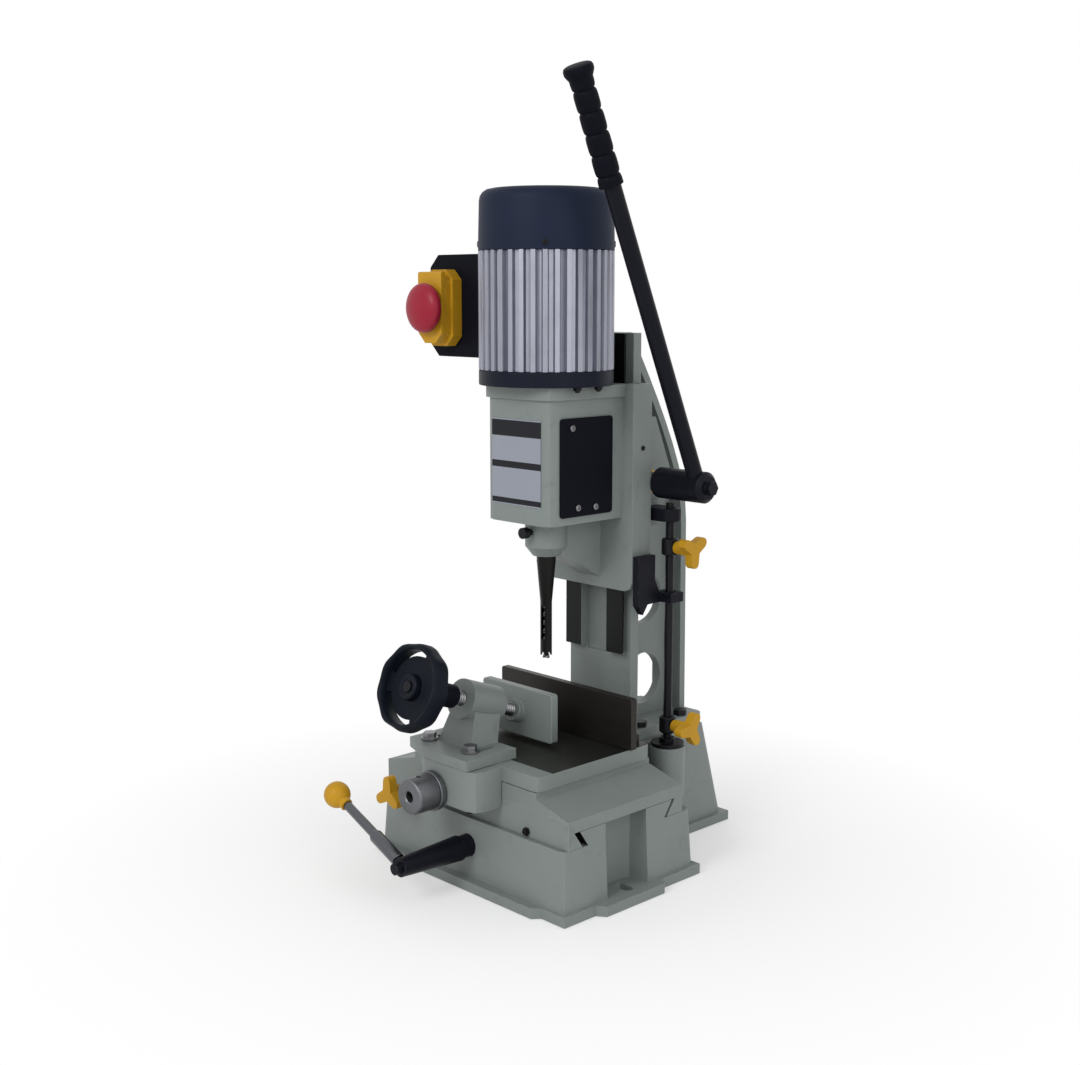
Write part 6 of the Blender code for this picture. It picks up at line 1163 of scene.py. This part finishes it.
class MORTISER_OT_stage(Operator):
    """Make the floor, the background, the lamps and the camera"""

    bl_idname = "mortiser.stage"
    bl_label = "Stage"

    def execute(self, context):
        context.scene.view_settings.view_transform = "Standard"
        self.camera()
        self.floor()
        self.world()
        middle = (CAD_BOX[0] + CAD_BOX[1]) / 2
        for name, place, width, power in LAMPS:
            data = bpy.data.lights.new(name, "AREA")
            data.energy = power
            data.size = width
            self.aimed(name, data, place, middle - Vector(place))
        return {"FINISHED"}

    def aimed(self, name, data, place, direction):
        """A lamp or camera that looks along a direction."""
        item = bpy.data.objects.new(name, data)
        item.location = place
        item.rotation_mode = "QUATERNION"
        item.rotation_quaternion = direction.to_track_quat("-Z", "Y")
        bpy.context.scene.collection.objects.link(item)
        return item

    def camera(self):
        """Camera at the photograph's place and angle."""
        data = bpy.data.cameras.new("camera")
        data.sensor_fit = "HORIZONTAL"
        data.sensor_width = CAMERA_SENSOR_MM
        data.lens = CAMERA_LENS_MM
        data.clip_start = CAMERA_NEAR
        bpy.context.scene.camera = self.aimed("camera", data, CAMERA_PLACE, Vector(CAMERA_LOOK))

    def seen(self, start, *kinds):
        """1 where rays of these kinds look, else 0."""
        rays = [start.make("LightPath", output=kind) for kind in kinds]
        total = rays[0]
        for ray in rays[1:]:
            total = start.calculate("MAXIMUM", total, ray)
        return total

    def floor(self):
        """Pale floor that fades to the white background away from the machine."""
        mesh = bmesh.new()
        bmesh.ops.create_grid(mesh, x_segments=1, y_segments=1, size=sizes().floor_half)
        mesh.transform(Matrix.Translation((0, 0, CAD_BOX[0].z - FLOOR_DROP)))
        material = bpy.data.materials.new("pale_floor")
        tree, surface = empty_tree(material, "ShaderNodeOutputMaterial")
        start = Socket(tree)
        place = start.make("TexCoord", output="Object")
        distance = start.make("VectorMath", {0: place}, 1, operation="LENGTH")
        away = distance.ramp((0.20, 0.35), (0.55, 1))
        seen = self.seen(start, "Is Camera Ray", "Is Glossy Ray") * away
        matt = start.make("BsdfDiffuse", {"Color": (0.90, 0.90, 0.90, 1)})
        white = start.make("Emission", {"Color": (1, 1, 1, 1), "Strength": 1.0})
        mixed = start.make("MixShader", {0: seen, 1: matt, 2: white})
        tree.links.new(mixed.output, surface)
        mesh_object("floor", mesh, material)

    def world(self):
        """White where the camera and reflections see it, softer as a light."""
        world = bpy.data.worlds.new("studio")
        bpy.context.scene.world = world
        tree, surface = empty_tree(world, "ShaderNodeOutputWorld")
        start = Socket(tree)
        seen = self.seen(start, "Is Camera Ray", "Is Glossy Ray", "Is Transmission Ray")
        light, shown = (start.make("Background", {"Color": (1, 1, 1, 1), "Strength": level})
                        for level in (WORLD_LEVEL, 1.0))
        mixed = start.make("MixShader", {0: seen, 1: light, 2: shown})
        tree.links.new(mixed.output, surface)


PIECE_OPERATORS = (
    MORTISER_OT_base, MORTISER_OT_column, MORTISER_OT_depth_stop, MORTISER_OT_head,
    MORTISER_OT_spindle, MORTISER_OT_motor, MORTISER_OT_switch, MORTISER_OT_feed_lever,
    MORTISER_OT_saddle, MORTISER_OT_traverse_lever, MORTISER_OT_table, MORTISER_OT_cross_screw,
    MORTISER_OT_vise, MORTISER_OT_stage,
)


class MORTISER_PT_panel(Panel):
    """Sidebar panel that lists the mortiser's operators"""

    bl_idname = "MORTISER_PT_panel"
    bl_label = "Bench Mortiser"
    bl_space_type = "VIEW_3D"
    bl_region_type = "UI"
    bl_category = "Mortiser"

    def draw(self, context):
        for group in (context.scene.mortiser_sizes, context.scene.mortiser_colours):
            box = self.layout.box()
            for name in group.bl_rna.properties.keys():
                if name not in {"rna_type", "name"}:
                    box.prop(group, name)
        for operator in PIECE_OPERATORS:
            self.layout.operator(operator.bl_idname)


CLASSES = (MortiserSizes, MortiserColours, *PIECE_OPERATORS, MORTISER_PT_panel)


def register():
    """Register the classes and the scene's properties."""
    for item in CLASSES:
        bpy.utils.register_class(item)
    bpy.types.Scene.mortiser_sizes = PointerProperty(type=MortiserSizes)
    bpy.types.Scene.mortiser_colours = PointerProperty(type=MortiserColours)


def unregister():
    """Take the properties and the classes away again."""
    del bpy.types.Scene.mortiser_colours
    del bpy.types.Scene.mortiser_sizes
    for item in reversed(CLASSES):
        bpy.utils.unregister_class(item)


def main():
    """Make every piece and the stage."""
    register()
    for operator in PIECE_OPERATORS:
        group, name = operator.bl_idname.split(".")
        getattr(getattr(bpy.ops, group), name)()


if __name__ == "__main__":
    main()
